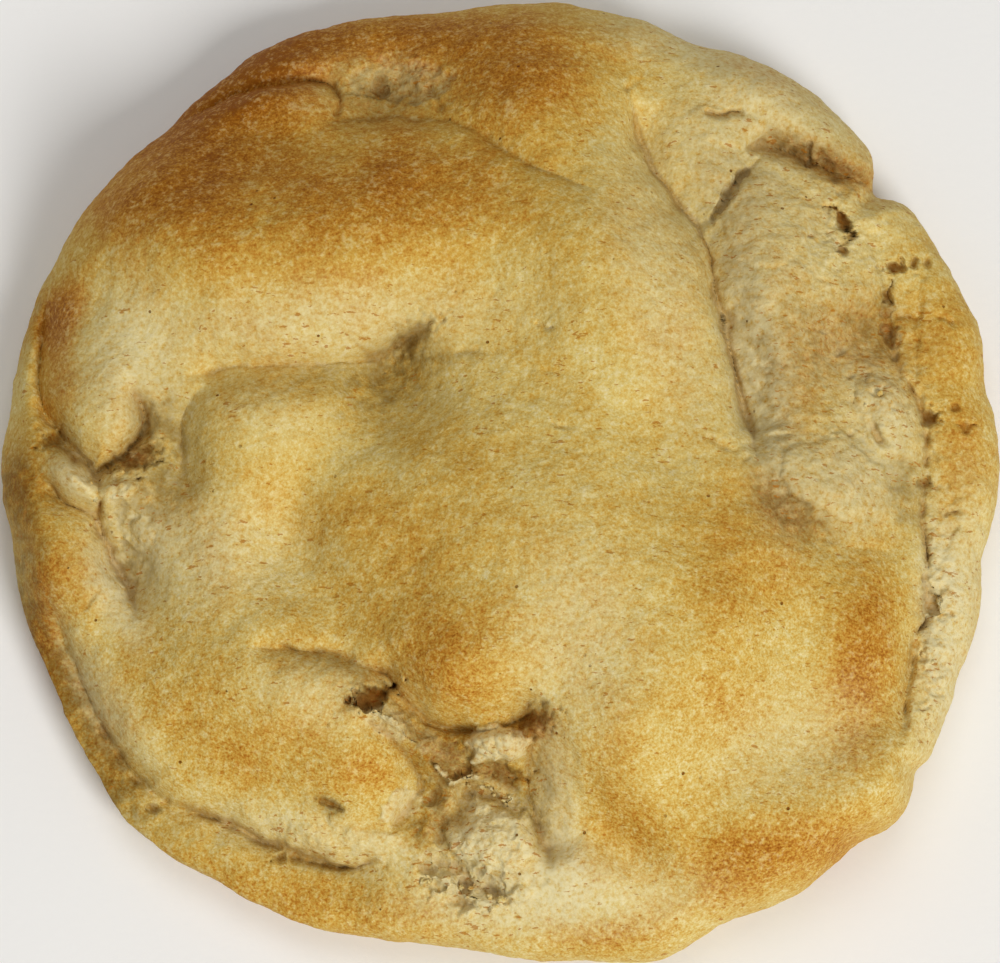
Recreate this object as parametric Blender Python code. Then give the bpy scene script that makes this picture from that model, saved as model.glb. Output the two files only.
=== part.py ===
"""A thick soft-baked cookie, lumpy and cracked on top and flat underneath: one piece, one solid.

Frame: +Z up, +Y to the back, origin on the table under the middle of the cookie. Blender works in
metres. The tables below are in millimetres and degrees, and MM turns them into metres once, at the end.

The top starts as a flat grid laid on a disc. Each point is lifted to the height of a low bun, plus
the swells of the dough, less its folds and its pits. The rim of that sheet is then extruded down the
side to the flat base.
"""

import math
from collections import namedtuple

import bmesh
import bpy
import numpy as np

MM = 0.001

# Driving sizes of the cookie, in millimetres
RADIUS = 45.0
EQUATOR = 4.4  # height at which the cookie is widest
LEDGE = 8.4  # height of the low rim outside the lumps
CROWN = 15.4  # height of the plain bun under the swells
LEDGE_START, CROWN_START = 0.93, 0.50  # shares of the radius where the rim ends and the crown begins
SHOULDER = 3.4  # how far in from the widest line the side turns into the top
BASE_INSET = 3.6  # how far in from the widest line the flat base ends
BASE_MIDDLE = 0.5  # share of the base's radius at which its inner ring lies

# The dough sagged to the front and inwards as it baked: per millimetre of height above the
# widest line, a point stands this far further front, and this share further in.
LEAN = 0.287
TAPER = 0.0016

# Rings of the mesh: in the top, and in the side above and below the widest line
TOP_RINGS = 28
UPPER_SIDE_RINGS = 4
LOWER_SIDE_RINGS = 3
PATCH = 1.0  # radius of the patch whose mean height each point takes, so that walls suit the mesh
PATCH_POINTS = 8

LINE_STEPS = 6  # straight pieces in each span of a fold's curve
FOLD_BLEND = 3.0  # how sharply the deeper of two folds wins where they meet
FOLD_FADE = 0.16  # share of a fold's length over which each end fades out

CRUST_COLOUR = (0.54, 0.35, 0.11, 1.0)
CRUST_ROUGHNESS = 0.75

# A wave of the rim: the direction it lies in, its half width in degrees and how far it pushes out
Wave = namedtuple("Wave", "direction half push")
RIM_WAVES = (
    Wave(12.5, 4.0, -0.7),  # shallow dent at the right
    Wave(18.0, 5.0, 0.6),
    Wave(38.6, 2.2, -2.2),  # broken notch at the back right
    Wave(52.0, 9.0, 0.9),
    Wave(66.0, 5.0, -0.7),
    Wave(95.0, 8.0, -0.5),
    Wave(116.0, 7.0, 0.8),
    Wave(132.5, 5.0, -0.7),  # where the back shoulder meets the rim
    Wave(197.0, 12.0, -0.9),
    Wave(225.0, 8.0, 1.2),
    Wave(263.5, 8.0, -1.4),
    Wave(288.0, 7.0, 1.7),
    Wave(306.0, 10.0, 1.7),
    Wave(319.5, 5.0, 2.2),  # corner at the front right
    Wave(324.0, 1.6, -1.0),
    Wave(328.0, 6.0, 1.2),
    Wave(353.5, 3.0, -1.4),  # small nick at the right
)

# A swell of the dough: its middle, its half lengths along and across, its turn and its rise.
# A negative rise is a hollow.
Swell = namedtuple("Swell", "x y along across turn rise")
SWELLS = (
    Swell(-17.0, 25.0, 15.0, 9.0, 5.0, 6.0),  # back left shoulder
    Swell(-30.0, 23.0, 8.0, 9.0, 45.0, 6.0),  # its outer end, which runs to the rim
    Swell(-19.0, 36.0, 4.5, 3.0, 0.0, 2.2),  # small lobe behind the shoulder
    Swell(9.0, 20.0, 18.0, 7.5, -70.0, 5.6),  # long ridge right of the middle
    Swell(2.5, 37.5, 9.0, 5.5, 0.0, 4.2),  # rise at the back rim
    Swell(2.0, -4.0, 15.0, 13.0, -30.0, 5.4),  # middle dome
    Swell(-4.0, -16.0, 7.0, 7.0, 0.0, 4.2),  # its front tip
    Swell(21.0, -15.0, 13.0, 13.0, 0.0, 4.2),  # front right lobe
    Swell(33.0, -15.0, 9.0, 4.5, 80.0, 3.2),
    Swell(12.0, -25.0, 8.0, 6.0, -60.0, 3.4),
    Swell(25.0, -32.0, 10.0, 6.0, 20.0, 5.6),
    Swell(36.0, -27.0, 6.0, 5.0, 60.0, 3.4),
    Swell(8.0, -37.5, 8.0, 4.0, -10.0, 2.4),
    Swell(-21.5, 5.5, 7.0, 6.0, -20.0, 2.6),  # low lump left of the middle
    Swell(-24.0, -20.0, 13.0, 8.0, 0.0, 3.0),  # front left lobe
    Swell(-14.0, -27.5, 5.0, 4.0, 0.0, 1.6),
    Swell(-36.0, 8.0, 5.5, 8.0, 0.0, 4.8),  # left knob
    Swell(-38.2, -0.4, 2.4, 1.7, -35.0, 2.6),  # small ball under it
    Swell(-40.0, -7.0, 4.0, 7.0, 10.0, 3.6),  # left flap
    Swell(-43.0, 3.0, 2.4, 5.0, 5.0, 1.4),
    Swell(26.0, 20.5, 7.0, 7.5, 0.0, 3.2),  # torn right part, back bump
    Swell(29.5, -0.5, 7.0, 5.5, 10.0, 3.2),  # and front bump
    Swell(35.3, 7.0, 2.4, 5.0, 20.0, 2.2),
    Swell(18.0, 33.0, 5.5, 4.5, 0.0, 1.8),
    Swell(26.0, 35.5, 9.0, 3.5, -35.0, 2.4),  # back right rim
    Swell(-8.5, 8.0, 6.0, 5.0, 20.0, -3.8),  # hollow under the long crease
    Swell(-14.0, -1.0, 8.0, 3.5, 55.0, -1.6),  # and its gentle run to the front
    Swell(-29.5, 3.5, 2.6, 6.5, 0.0, -2.4),
    Swell(-33.0, -8.0, 2.4, 4.0, 20.0, -2.6),
    Swell(-9.0, 37.0, 6.5, 3.5, 0.0, -1.6),
    Swell(-3.0, -28.5, 7.5, 5.5, 0.0, -3.6),  # bottom of the front tear
    Swell(32.5, 13.5, 4.5, 3.2, 20.0, -2.6),
    Swell(20.0, 3.0, 8.0, 4.0, -60.0, -1.4),  # dip between the middle dome and the right
    Swell(25.5, -13.0, 3.5, 8.0, 5.0, -1.2),
)

# A fold of the dough: its depth, the reach of the round shoulder on its left side, how full that
# shoulder is, the reach of the gentler apron on its right side, and the points its curve runs through
Fold = namedtuple("Fold", "depth shoulder full apron points")


def back_folds():
    """The folds behind the back left shoulder and along the long ridge."""
    behind_end = ((-14.2, 34.5), (-15.8, 37.2), (-20.5, 37.1), (-25.0, 35.6), (-31.5, 32.0))
    behind_shoulder = ((10.0, 26.6), (4.2, 28.9), (0.2, 31.0), (-2.6, 33.0), (-6.5, 33.9), (-17.5, 33.7))
    beside_ridge = ((23.4, 0.6), (21.7, 8.0), (19.4, 17.5), (18.3, 22.5), (13.3, 30.2), (11.6, 37.5))
    return [
        Fold(4.2, 5.0, 4.0, 3.0, behind_end),
        Fold(4.6, 5.0, 4.0, 4.5, behind_shoulder),
        Fold(5.0, 5.5, 3.5, 6.5, beside_ridge),
    ]


def right_folds():
    """The folds that part the front right lobe and the torn right part from the rim."""
    behind_lobe = ((37.5, -6.5), (31.0, -6.0), (27.0, -4.2), (24.3, -0.8), (22.4, 2.4))
    inside_rim = (
        (35.4, -28.6), (36.6, -20.0), (38.4, -11.0), (38.1, 0.0), (38.5, 5.5), (35.4, 12.0), (35.0, 19.5)
    )
    torn_back = ((18.4, 23.2), (22.2, 29.6), (24.6, 31.0), (28.0, 29.9), (33.6, 27.6))
    return [
        Fold(2.8, 6.0, 2.5, 6.0, behind_lobe),
        Fold(5.0, 4.0, 3.0, 2.4, inside_rim),
        Fold(2.8, 2.4, 2.0, 2.4, torn_back),
    ]


def middle_folds():
    """The long crease, the hollow left of it, the edge of the middle dome and the tear in front of it."""
    long_crease = ((-26.0, 10.4), (-14.5, 11.1), (-10.8, 11.8), (-8.6, 13.2), (-5.8, 15.2))
    left_hollow = ((-28.0, -2.0), (-28.5, 3.0), (-28.2, 7.0), (-25.5, 10.2))
    dome_edge = (
        (-23.0, -15.4), (-17.0, -15.8), (-10.2, -18.4), (-5.8, -22.9), (-2.6, -23.5), (0.6, -22.9), (4.6, -20.4)
    )
    tear_wall = ((1.6, -22.0), (2.6, -25.0), (2.4, -28.5), (3.2, -32.0), (5.6, -37.5))
    tear_wedge = ((2.8, -30.4), (1.8, -28.6), (-1.6, -29.4), (-5.2, -30.4), (-9.0, -35.2))
    tear_end = ((-6.5, -35.4), (-3.8, -36.2), (-1.6, -37.8), (0.4, -38.6))
    return [
        Fold(3.4, 5.0, 2.5, 5.0, long_crease),
        Fold(1.6, 3.0, 2.0, 4.0, left_hollow),
        Fold(5.4, 6.0, 2.8, 3.0, dome_edge),
        Fold(5.0, 4.6, 2.6, 2.6, tear_wall),
        Fold(2.2, 2.4, 2.0, 2.0, tear_wedge),
        Fold(1.6, 1.8, 2.0, 2.2, tear_end),
    ]


def left_folds():
    """The folds round the front left lobe, the left knob and the flap beneath it."""
    front_lip = (
        (-40.2, -12.0), (-37.4, -19.0), (-32.2, -27.8), (-29.6, -30.4), (-20.6, -33.9), (-12.6, -36.3),
        (-8.0, -33.4),
    )
    lobe_end = ((-9.0, -32.4), (-7.4, -28.2), (-9.0, -25.0), (-13.0, -21.0))
    knob = ((-40.2, 19.0), (-41.2, 13.5), (-41.0, 6.6), (-37.6, 2.2), (-35.9, 0.8), (-31.9, 5.4), (-34.0, 10.6))
    flap = ((-33.0, -12.4), (-34.4, -9.0), (-36.5, -3.0), (-40.2, -1.0), (-42.6, -0.6))
    return [
        Fold(3.6, 4.2, 2.5, 3.4, front_lip),
        Fold(2.8, 3.0, 2.5, 2.6, lobe_end),
        Fold(4.0, 3.4, 2.8, 2.2, knob),
        Fold(3.2, 3.4, 2.8, 2.4, flap),
    ]


# A pit in the crust: its middle, its half lengths along and across, its turn and its depth
Pit = namedtuple("Pit", "x y along across turn depth")
PITS = (
    Pit(-12.2, -19.9, 2.2, 1.4, 25.0, 3.6),  # deep hole left of the dome's tip
    Pit(3.6, -22.6, 1.8, 1.6, 0.0, 1.8),
    Pit(-5.4, -25.6, 2.6, 2.8, 0.0, 1.2),
    Pit(-32.4, 2.4, 2.0, 1.4, 30.0, 2.4),
    Pit(26.6, 30.6, 2.8, 1.6, -35.0, 3.0),  # dark hole in the back right tear
    Pit(31.2, 27.9, 2.0, 1.5, -10.0, 2.4),
    Pit(38.7, 6.0, 1.6, 1.6, 0.0, 2.2),
)


def ease(share):
    """0 below 0, 1 above 1 and an even S between: 3 t^2 - 2 t^3."""
    share = np.clip(share, 0.0, 1.0)
    return share * share * (3.0 - 2.0 * share)


def rim_radius(angle):
    """The radius at an angle in radians: a circle with the rim's waves on it."""
    radius = np.full(np.shape(angle), RADIUS)
    degrees = np.degrees(angle)
    for wave in RIM_WAVES:
        away = (degrees - wave.direction + 180.0) % 360.0 - 180.0
        radius = radius + wave.push * np.exp(-((away / wave.half) ** 2))
    return radius


def in_oval(x, y, oval):
    """The distance from an oval's middle, where 1 is its edge."""
    turn = math.radians(oval.turn)
    along = (x - oval.x) * math.cos(turn) + (y - oval.y) * math.sin(turn)
    across = (y - oval.y) * math.cos(turn) - (x - oval.x) * math.sin(turn)
    return np.hypot(along / oval.along, across / oval.across)


def curve_through(points):
    """A smooth cubic curve through the points, as many short straight pieces."""
    path = np.array(points, float)
    path = np.vstack([2 * path[0] - path[1], path, 2 * path[-1] - path[-2]])
    t = np.linspace(0.0, 1.0, LINE_STEPS, endpoint=False)[:, None]
    spans = []
    for before, start, end, after in zip(path, path[1:], path[2:], path[3:]):
        spans.append(
            0.5 * (2 * start + (end - before) * t + (2 * before - 5 * start + 4 * end - after) * t**2
                   + (3 * start - before - 3 * end + after) * t**3)
        )
    return np.vstack([*spans, path[-2:-1]])


def from_curve(x, y, curve):
    """The distance to a curve, positive on its left, and the share of its length at the nearest point."""
    start, step = curve[:-1], np.diff(curve, axis=0)
    length = np.hypot(step[:, 0], step[:, 1])
    right, up = x[:, None] - start[:, 0], y[:, None] - start[:, 1]
    share = np.clip((right * step[:, 0] + up * step[:, 1]) / length**2, 0.0, 1.0)
    gap = np.hypot(right - share * step[:, 0], up - share * step[:, 1])
    rows, nearest = np.arange(len(x)), gap.argmin(axis=1)
    side = np.sign(step[nearest, 0] * up[rows, nearest] - step[nearest, 1] * right[rows, nearest])
    before = np.concatenate([[0.0], np.cumsum(length)])
    reached = before[nearest] + share[rows, nearest] * length[nearest]
    return side * gap[rows, nearest], reached / before[-1]


def fold_depth(x, y, fold):
    """How far a fold sinks the dough: a full round on its left, a parabola on its right, 0 at its ends."""
    away, share = from_curve(x, y, curve_through(fold.points))
    shoulder = 1.0 - np.clip(away / fold.shoulder, 0.0, 1.0)
    apron = 1.0 - np.clip(-away / fold.apron, 0.0, 1.0)
    profile = np.where(away > 0.0, shoulder**fold.full, apron**2)
    return fold.depth * profile * ease(np.minimum(share, 1.0 - share) / FOLD_FADE)


def top_height(x, y):
    """The height of the top in millimetres over places on the disc."""
    share = np.hypot(x, y) / RADIUS
    height = LEDGE + (CROWN - LEDGE) * ease((LEDGE_START - share) / (LEDGE_START - CROWN_START))
    for swell in SWELLS:
        height = height + swell.rise * np.exp(-in_oval(x, y, swell) ** 2)
    folds = back_folds() + right_folds() + middle_folds() + left_folds()
    sunk = sum(fold_depth(x, y, fold) ** FOLD_BLEND for fold in folds) ** (1.0 / FOLD_BLEND)
    pits = sum(pit.depth * np.exp(-in_oval(x, y, pit) ** 4) for pit in PITS)
    return height - sunk - pits


def patch_height(x, y):
    """The mean height of a small patch round each place: its middle and a ring of points round it."""
    turns = np.linspace(0.0, 2.0 * math.pi, PATCH_POINTS, endpoint=False)
    around = [top_height(x + PATCH * math.cos(turn), y + PATCH * math.sin(turn)) for turn in turns]
    return np.mean([top_height(x, y), *around], axis=0)


def stand(x, y, height):
    """Turns a place on the disc and its height into a point, leaning and tapering with height."""
    above = height - EQUATOR
    grow = 1.0 - TAPER * above
    return np.stack([x * grow, y * grow - LEAN * above, height], axis=1)


def square_to_disc(a, b):
    """Maps a square onto a disc: its square rings become round ones, evenly spaced."""
    wide = np.abs(a) >= np.abs(b)
    radius = np.where(wide, a, b)
    safe = np.where(radius == 0.0, 1.0, radius)
    angle = np.where(wide, b / safe * math.pi / 4, math.pi / 2 - a / safe * math.pi / 4)
    return radius * np.cos(angle), radius * np.sin(angle)


def side_ring(angle, top, step):
    """The points of a side ring. Step is 0 at the top's rim, 1 at the widest line and 2 at the base."""
    rim = rim_radius(angle)
    widest = np.stack([rim * np.cos(angle), rim * np.sin(angle)], axis=1)
    if step <= 1.0:
        turn = step * math.pi / 2
        flat = widest + (top[:, :2] - widest) * (1.0 - math.sin(turn))
        height = EQUATOR + (top[:, 2] - EQUATOR) * math.cos(turn)
    else:
        turn = (step - 1.0) * math.pi / 2
        flat = widest * ((rim - BASE_INSET * (1.0 - math.cos(turn))) / rim)[:, None]
        height = np.full(len(angle), EQUATOR * (1.0 - math.sin(turn)))
    return np.column_stack([flat, height])


def build_top(mesh, rim_angle, rim_point):
    """The top sheet: a grid laid on the disc and lifted. Its rim keeps its angles and points for the side."""
    segments = 2 * TOP_RINGS
    sheet = bmesh.ops.create_grid(mesh, x_segments=segments, y_segments=segments, size=1.0)["verts"]
    square = np.array([vertex.co for vertex in sheet])
    x, y = square_to_disc(square[:, 0], square[:, 1])
    angle = np.arctan2(y, x)
    reach = rim_radius(angle) - SHOULDER
    x, y = x * reach, y * reach
    points = stand(x, y, patch_height(x, y))
    for vertex, point, turn in zip(sheet, points, angle):
        vertex.co = point * MM
        vertex[rim_angle] = turn
        vertex[rim_point] = point


def extrude_ring(mesh, edges, place_ring):
    """Extrudes a loop of edges by one ring, puts it where place_ring says, and returns the new loop."""
    made = bmesh.ops.extrude_edge_only(mesh, edges=edges)["geom"]
    ring = [item for item in made if isinstance(item, bmesh.types.BMVert)]
    for vertex, point in zip(ring, place_ring(ring)):
        vertex.co = point * MM
    return [item for item in made if isinstance(item, bmesh.types.BMEdge)]


def build_cookie():
    """One closed mesh: the top sheet, the side extruded down from its rim, and the flat base."""
    mesh = bmesh.new()
    rim_angle = mesh.verts.layers.float.new("rim angle")
    rim_point = mesh.verts.layers.float_vector.new("rim point")
    build_top(mesh, rim_angle, rim_point)

    def side_points(step):
        def points(ring):
            angle = np.array([vertex[rim_angle] for vertex in ring])
            top = np.array([vertex[rim_point] for vertex in ring])
            return side_ring(angle, top, step)

        return points

    def base_points(ring):
        return np.array([vertex.co for vertex in ring]) / MM * (BASE_MIDDLE, BASE_MIDDLE, 1.0)

    edges = [edge for edge in mesh.edges if edge.is_boundary]
    above = np.linspace(0.0, 1.0, UPPER_SIDE_RINGS + 1)[1:]
    below = np.linspace(1.0, 2.0, LOWER_SIDE_RINGS + 1)[1:]
    for step in (*above, *below):
        edges = extrude_ring(mesh, edges, side_points(step))
    edges = extrude_ring(mesh, edges, base_points)
    bmesh.ops.contextual_create(mesh, geom=edges)
    bmesh.ops.recalc_face_normals(mesh, faces=mesh.faces)
    mesh.verts.layers.float.remove(mesh.verts.layers.float["rim angle"])
    mesh.verts.layers.float_vector.remove(mesh.verts.layers.float_vector["rim point"])
    return mesh


def crust_material():
    """The baked crust: golden brown, dull and dry."""
    material = bpy.data.materials.new("baked_crust")
    material.use_nodes = True
    shader = material.node_tree.nodes["Principled BSDF"]
    shader.inputs["Base Color"].default_value = CRUST_COLOUR
    shader.inputs["Roughness"].default_value = CRUST_ROUGHNESS
    shader.inputs["Metallic"].default_value = 0.0
    return material


def main():
    for item in list(bpy.data.objects):
        bpy.data.objects.remove(item, do_unlink=True)
    collection = bpy.data.collections.new("cookie_parts")
    bpy.context.scene.collection.children.link(collection)

    data = bpy.data.meshes.new("cookie")
    mesh = build_cookie()
    mesh.to_mesh(data)
    mesh.free()
    data.materials.append(crust_material())
    data.shade_smooth()
    cookie = bpy.data.objects.new("cookie", data)
    collection.objects.link(cookie)


main()
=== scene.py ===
"""The looks of a thick soft-baked cookie: its crust with every swell, fold and crack, and its loose crumbs.

Frame: +Z up, +Y to the back of the view, origin on the table under the middle of the cookie. Blender works
in metres. The sizes and places below are in millimetres and degrees, and MM turns them into metres.

Places on the top are laid off as the camera sees them, from the middle of the cookie: x to the right and
y to the back. Cookie.stand turns such a place and its height into a point in space.
"""

import logging
import math
from dataclasses import dataclass, field
from enum import Enum

import bpy
import numpy as np
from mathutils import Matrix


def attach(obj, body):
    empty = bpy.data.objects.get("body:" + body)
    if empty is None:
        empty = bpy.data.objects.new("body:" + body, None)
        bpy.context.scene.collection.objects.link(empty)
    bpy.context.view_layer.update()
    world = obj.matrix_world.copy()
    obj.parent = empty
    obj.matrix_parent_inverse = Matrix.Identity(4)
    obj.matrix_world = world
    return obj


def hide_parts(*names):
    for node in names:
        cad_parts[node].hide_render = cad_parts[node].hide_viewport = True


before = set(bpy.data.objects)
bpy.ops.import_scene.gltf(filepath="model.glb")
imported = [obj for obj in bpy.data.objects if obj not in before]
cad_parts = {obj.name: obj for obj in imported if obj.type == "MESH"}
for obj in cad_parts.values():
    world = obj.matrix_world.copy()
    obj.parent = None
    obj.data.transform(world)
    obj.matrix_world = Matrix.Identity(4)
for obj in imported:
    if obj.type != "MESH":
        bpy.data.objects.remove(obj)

LOG = logging.getLogger("cookie")
MM = 0.001
VIEW_UP = 74.0  # how far above the table the camera looks down, in degrees
VIEW_DISTANCE = 600.0
VIEW_FRONT = 0.9  # how far in front of the cookie's middle the middle of the view lies
NOISE_GAIN = 1.6  # brings a layer of noise to about -1 to 1
FOLD_FADE = 0.16  # share of a fold's length over which each of its ends fades out
CRACK_FADE = 0.2  # the same for a crack
GROOVE_WIDTH = 0.28  # half width of the groove at a fold's foot
BARE = 0.46  # how far the dough is torn where the skin begins to end
BARE_OVER = 0.1  # how much further it is torn where the skin has gone

Array = np.ndarray
Place = tuple[float, float]
Colour = tuple[float, float, float, float]
Socket = bpy.types.NodeSocket


def colour(red: int, green: int, blue: int) -> Colour:
    """A colour given on a screen's scale of 0 to 255, as the linear values a shader takes.

    Formula: ((c + 0.055) / 1.055) ^ 2.4 for each share c of 255.

    Args:
        red: Share of red, 0 to 255.
        green: Share of green.
        blue: Share of blue.

    Returns:
        The linear colour, with an alpha of 1.
    """
    linear = [((share / 255.0 + 0.055) / 1.055) ** 2.4 for share in (red, green, blue)]
    return (linear[0], linear[1], linear[2], 1.0)


def ease(share: Array) -> Array:
    """0 below 0, 1 above 1 and an even S between: 3 t^2 - 2 t^3."""
    held = np.clip(share, 0.0, 1.0)
    return held * held * (3.0 - 2.0 * held)


@dataclass(frozen=True)
class Noise:
    """Smooth noise in space, from random slopes on the corners of a cubic lattice.

    Attributes:
        size: Edge of a lattice cell, in millimetres.
        seed: Seed of the random slopes.
        octaves: How many layers are added, each half the size and half the strength of the last.
        corners: Corners of the lattice along each axis, after which it repeats.
    """

    size: float
    seed: int
    octaves: int = 1
    corners: int = 48

    def layer(self, points: Array, slopes: Array) -> Array:
        """One layer of noise.

        Formula: for t, the place in its cell, each corner adds its slope times the step from it, weighted
        by the product over the three axes of t^3 (6 t^2 - 15 t + 10), or 1 less that on the low side.
        The sum is multiplied by 1.6.

        Args:
            points: Points in cells of the lattice, one row each.
            slopes: The random slopes, on a cube of corners.

        Returns:
            The noise at each point, about -1 to 1.
        """
        cell = np.floor(points).astype(int)
        t = points - cell
        blend = t**3 * (t * (6.0 * t - 15.0) + 10.0)
        total = np.zeros(len(points))
        for corner in np.ndindex(2, 2, 2):
            at = (cell + corner) % self.corners
            push = (slopes[at[:, 0], at[:, 1], at[:, 2]] * (t - corner)).sum(axis=1)
            total += push * np.where(corner, blend, 1.0 - blend).prod(axis=1)
        return NOISE_GAIN * total

    def at(self, points: Array) -> Array:
        """The noise at some points, as the sum of its layers.

        Args:
            points: Points in millimetres, one row each.

        Returns:
            The noise at each point, about -1 to 1 for one layer.
        """
        slopes = np.random.default_rng(self.seed).normal(size=(self.corners,) * 3 + (3,))
        slopes /= np.linalg.norm(slopes, axis=-1, keepdims=True)
        scales = [2.0**octave for octave in range(self.octaves)]
        return sum(self.layer(points * scale / self.size, slopes) / scale for scale in scales)

    def over(self, x: Array, y: Array) -> Array:
        """The noise over places on the plane."""
        return self.at(np.column_stack([x, y, np.zeros(len(x))]))


@dataclass(frozen=True)
class Oval:
    """An oval on the plane: its middle, its half lengths along and across, and its turn in degrees."""

    x: float
    y: float
    along: float
    across: float
    turn: float

    def away(self, x: Array, y: Array) -> Array:
        """The distance from the middle, where 1 is the oval's edge.

        Args:
            x: Places to the right of the cookie's middle.
            y: Places to its back.

        Returns:
            The distance of each place.
        """
        turn = math.radians(self.turn)
        along = (x - self.x) * math.cos(turn) + (y - self.y) * math.sin(turn)
        across = (y - self.y) * math.cos(turn) - (x - self.x) * math.sin(turn)
        return np.hypot(along / self.along, across / self.across)


@dataclass(frozen=True)
class Swell(Oval):
    """A swell of the dough, or a hollow.

    Attributes:
        rise: Height at its middle, negative for a hollow.
    """

    rise: float

    def height(self, x: Array, y: Array) -> Array:
        """The height it adds: rise * exp(-away^2)."""
        return self.rise * np.exp(-self.away(x, y) ** 2)


@dataclass(frozen=True)
class Pit(Oval):
    """A hole in the crust, with a flat floor and soft walls.

    Attributes:
        depth: Depth of its floor.
    """

    depth: float

    def sunk(self, x: Array, y: Array, uneven: Array) -> Array:
        """The depth it takes away: depth * exp(-(away * u)^4), for u = 1 + uneven / 2 held to 0.4..2."""
        wander = np.clip(1.0 + 0.5 * uneven, 0.4, 2.0)
        return self.depth * np.exp(-((self.away(x, y) * wander) ** 4))


@dataclass(frozen=True)
class Clump(Oval):
    """A clump or plate of crumb with steep ragged sides, which stands on the dough round it.

    Attributes:
        rise: How high it stands.
        pale: How pale its crumb is, 0 to 1.
        rag: How far its sides run in and out.
    """

    rise: float
    pale: float = 0.8
    rag: float = 0.4

    def share(self, x: Array, y: Array, ragged: Array) -> Array:
        """How far places lie inside it.

        Formula: 1 - (away + rag * ragged / its lesser half length)^3, held to 0..1.

        Args:
            x: Places to the right of the cookie's middle.
            y: Places to its back.
            ragged: Noise at the places, about -1 to 1.

        Returns:
            The share of each place, 0 at its edge and outside it.
        """
        off = np.maximum(self.away(x, y) + self.rag * ragged / min(self.along, self.across), 0.0)
        return np.clip(1.0 - off**3, 0.0, 1.0)


class Bake(Enum):
    """How a stretch of the crust has baked; the moist stains also stand for painted shade."""

    BROWNED = "browned"
    PALE = "pale"
    # Moist dough, and also painted shade on slopes turned from the light, under lips and in creases.
    MOIST_AND_SHADE = "moist_and_shade"
    CRUMBLY = "crumbly"


@dataclass(frozen=True)
class Stain(Oval):
    """An oval stretch of crust that has baked in one way; the moist ones also paint shade.

    Attributes:
        amount: How strongly, at its middle. It may be negative.
        bake: In which way.
    """

    amount: float
    bake: Bake

    def cover(self, x: Array, y: Array) -> Array:
        """How much of it lies at each place: amount * exp(-away^2.5)."""
        return self.amount * np.exp(-self.away(x, y) ** 2.5)


@dataclass(frozen=True)
class Line:
    """A smooth curve over the plane, through a few places."""

    points: tuple[Place, ...]

    def pieces(self, steps: int = 6) -> Array:
        """The curve as short straight pieces.

        Formula: between two places p1 and p2, with p0 before and p3 after them, half of
        2 p1 + (p2 - p0) t + (2 p0 - 5 p1 + 4 p2 - p3) t^2 + (3 p1 - p0 - 3 p2 + p3) t^3.

        Args:
            steps: Straight pieces between two places.

        Returns:
            The corners of the pieces, one row each.
        """
        path = np.array(self.points, float)
        path = np.vstack([2 * path[0] - path[1], path, 2 * path[-1] - path[-2]])[:, None]
        before, start, end, after = path[:-3], path[1:-2], path[2:-1], path[3:]
        t = np.linspace(0.0, 1.0, steps, endpoint=False)[None, :, None]
        slope, bend = end - before, 2 * before - 5 * start + 4 * end - after
        twist = 3 * start - before - 3 * end + after
        curve = 0.5 * (2 * start + slope * t + bend * t**2 + twist * t**3)
        return np.vstack([curve.reshape(-1, 2), path[-2]])

    def nearest(self, x: Array, y: Array, reach: float) -> tuple[Array, Array, Array]:
        """Finds how far off the curve places lie.

        Formula: on each straight piece the nearest share is the step to the place times the piece, over
        the piece's length squared, held to 0..1. The piece with the least gap counts.

        Args:
            x: Places to the right of the cookie's middle.
            y: Places to its back.
            reach: Places further than this from the curve's box are left out.

        Returns:
            Which places are in reach, and for those the distance to the curve, positive on its left, and
            the share of the curve's length at the nearest point.
        """
        curve = self.pieces()
        low, high = curve.min(axis=0) - reach, curve.max(axis=0) + reach
        close = (x > low[0]) & (x < high[0]) & (y > low[1]) & (y < high[1])
        start, step = curve[:-1], np.diff(curve, axis=0)
        length = np.hypot(step[:, 0], step[:, 1])
        right, up = x[close, None] - start[:, 0], y[close, None] - start[:, 1]
        share = np.clip((right * step[:, 0] + up * step[:, 1]) / length**2, 0.0, 1.0)
        gap = np.hypot(right - share * step[:, 0], up - share * step[:, 1])
        rows, best = np.arange(len(gap)), gap.argmin(axis=1)
        side = np.sign(step[best, 0] * up[rows, best] - step[best, 1] * right[rows, best])
        before = np.concatenate([[0.0], np.cumsum(length)])
        reached = before[best] + share[rows, best] * length[best]
        return close, side * gap[rows, best], reached / before[-1]

    @staticmethod
    def faded(share: Array, over: float) -> Array:
        """1 along the curve, and an even S down to 0 over a share of its length at each end."""
        return ease(np.minimum(share, 1.0 - share) / over)


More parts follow.
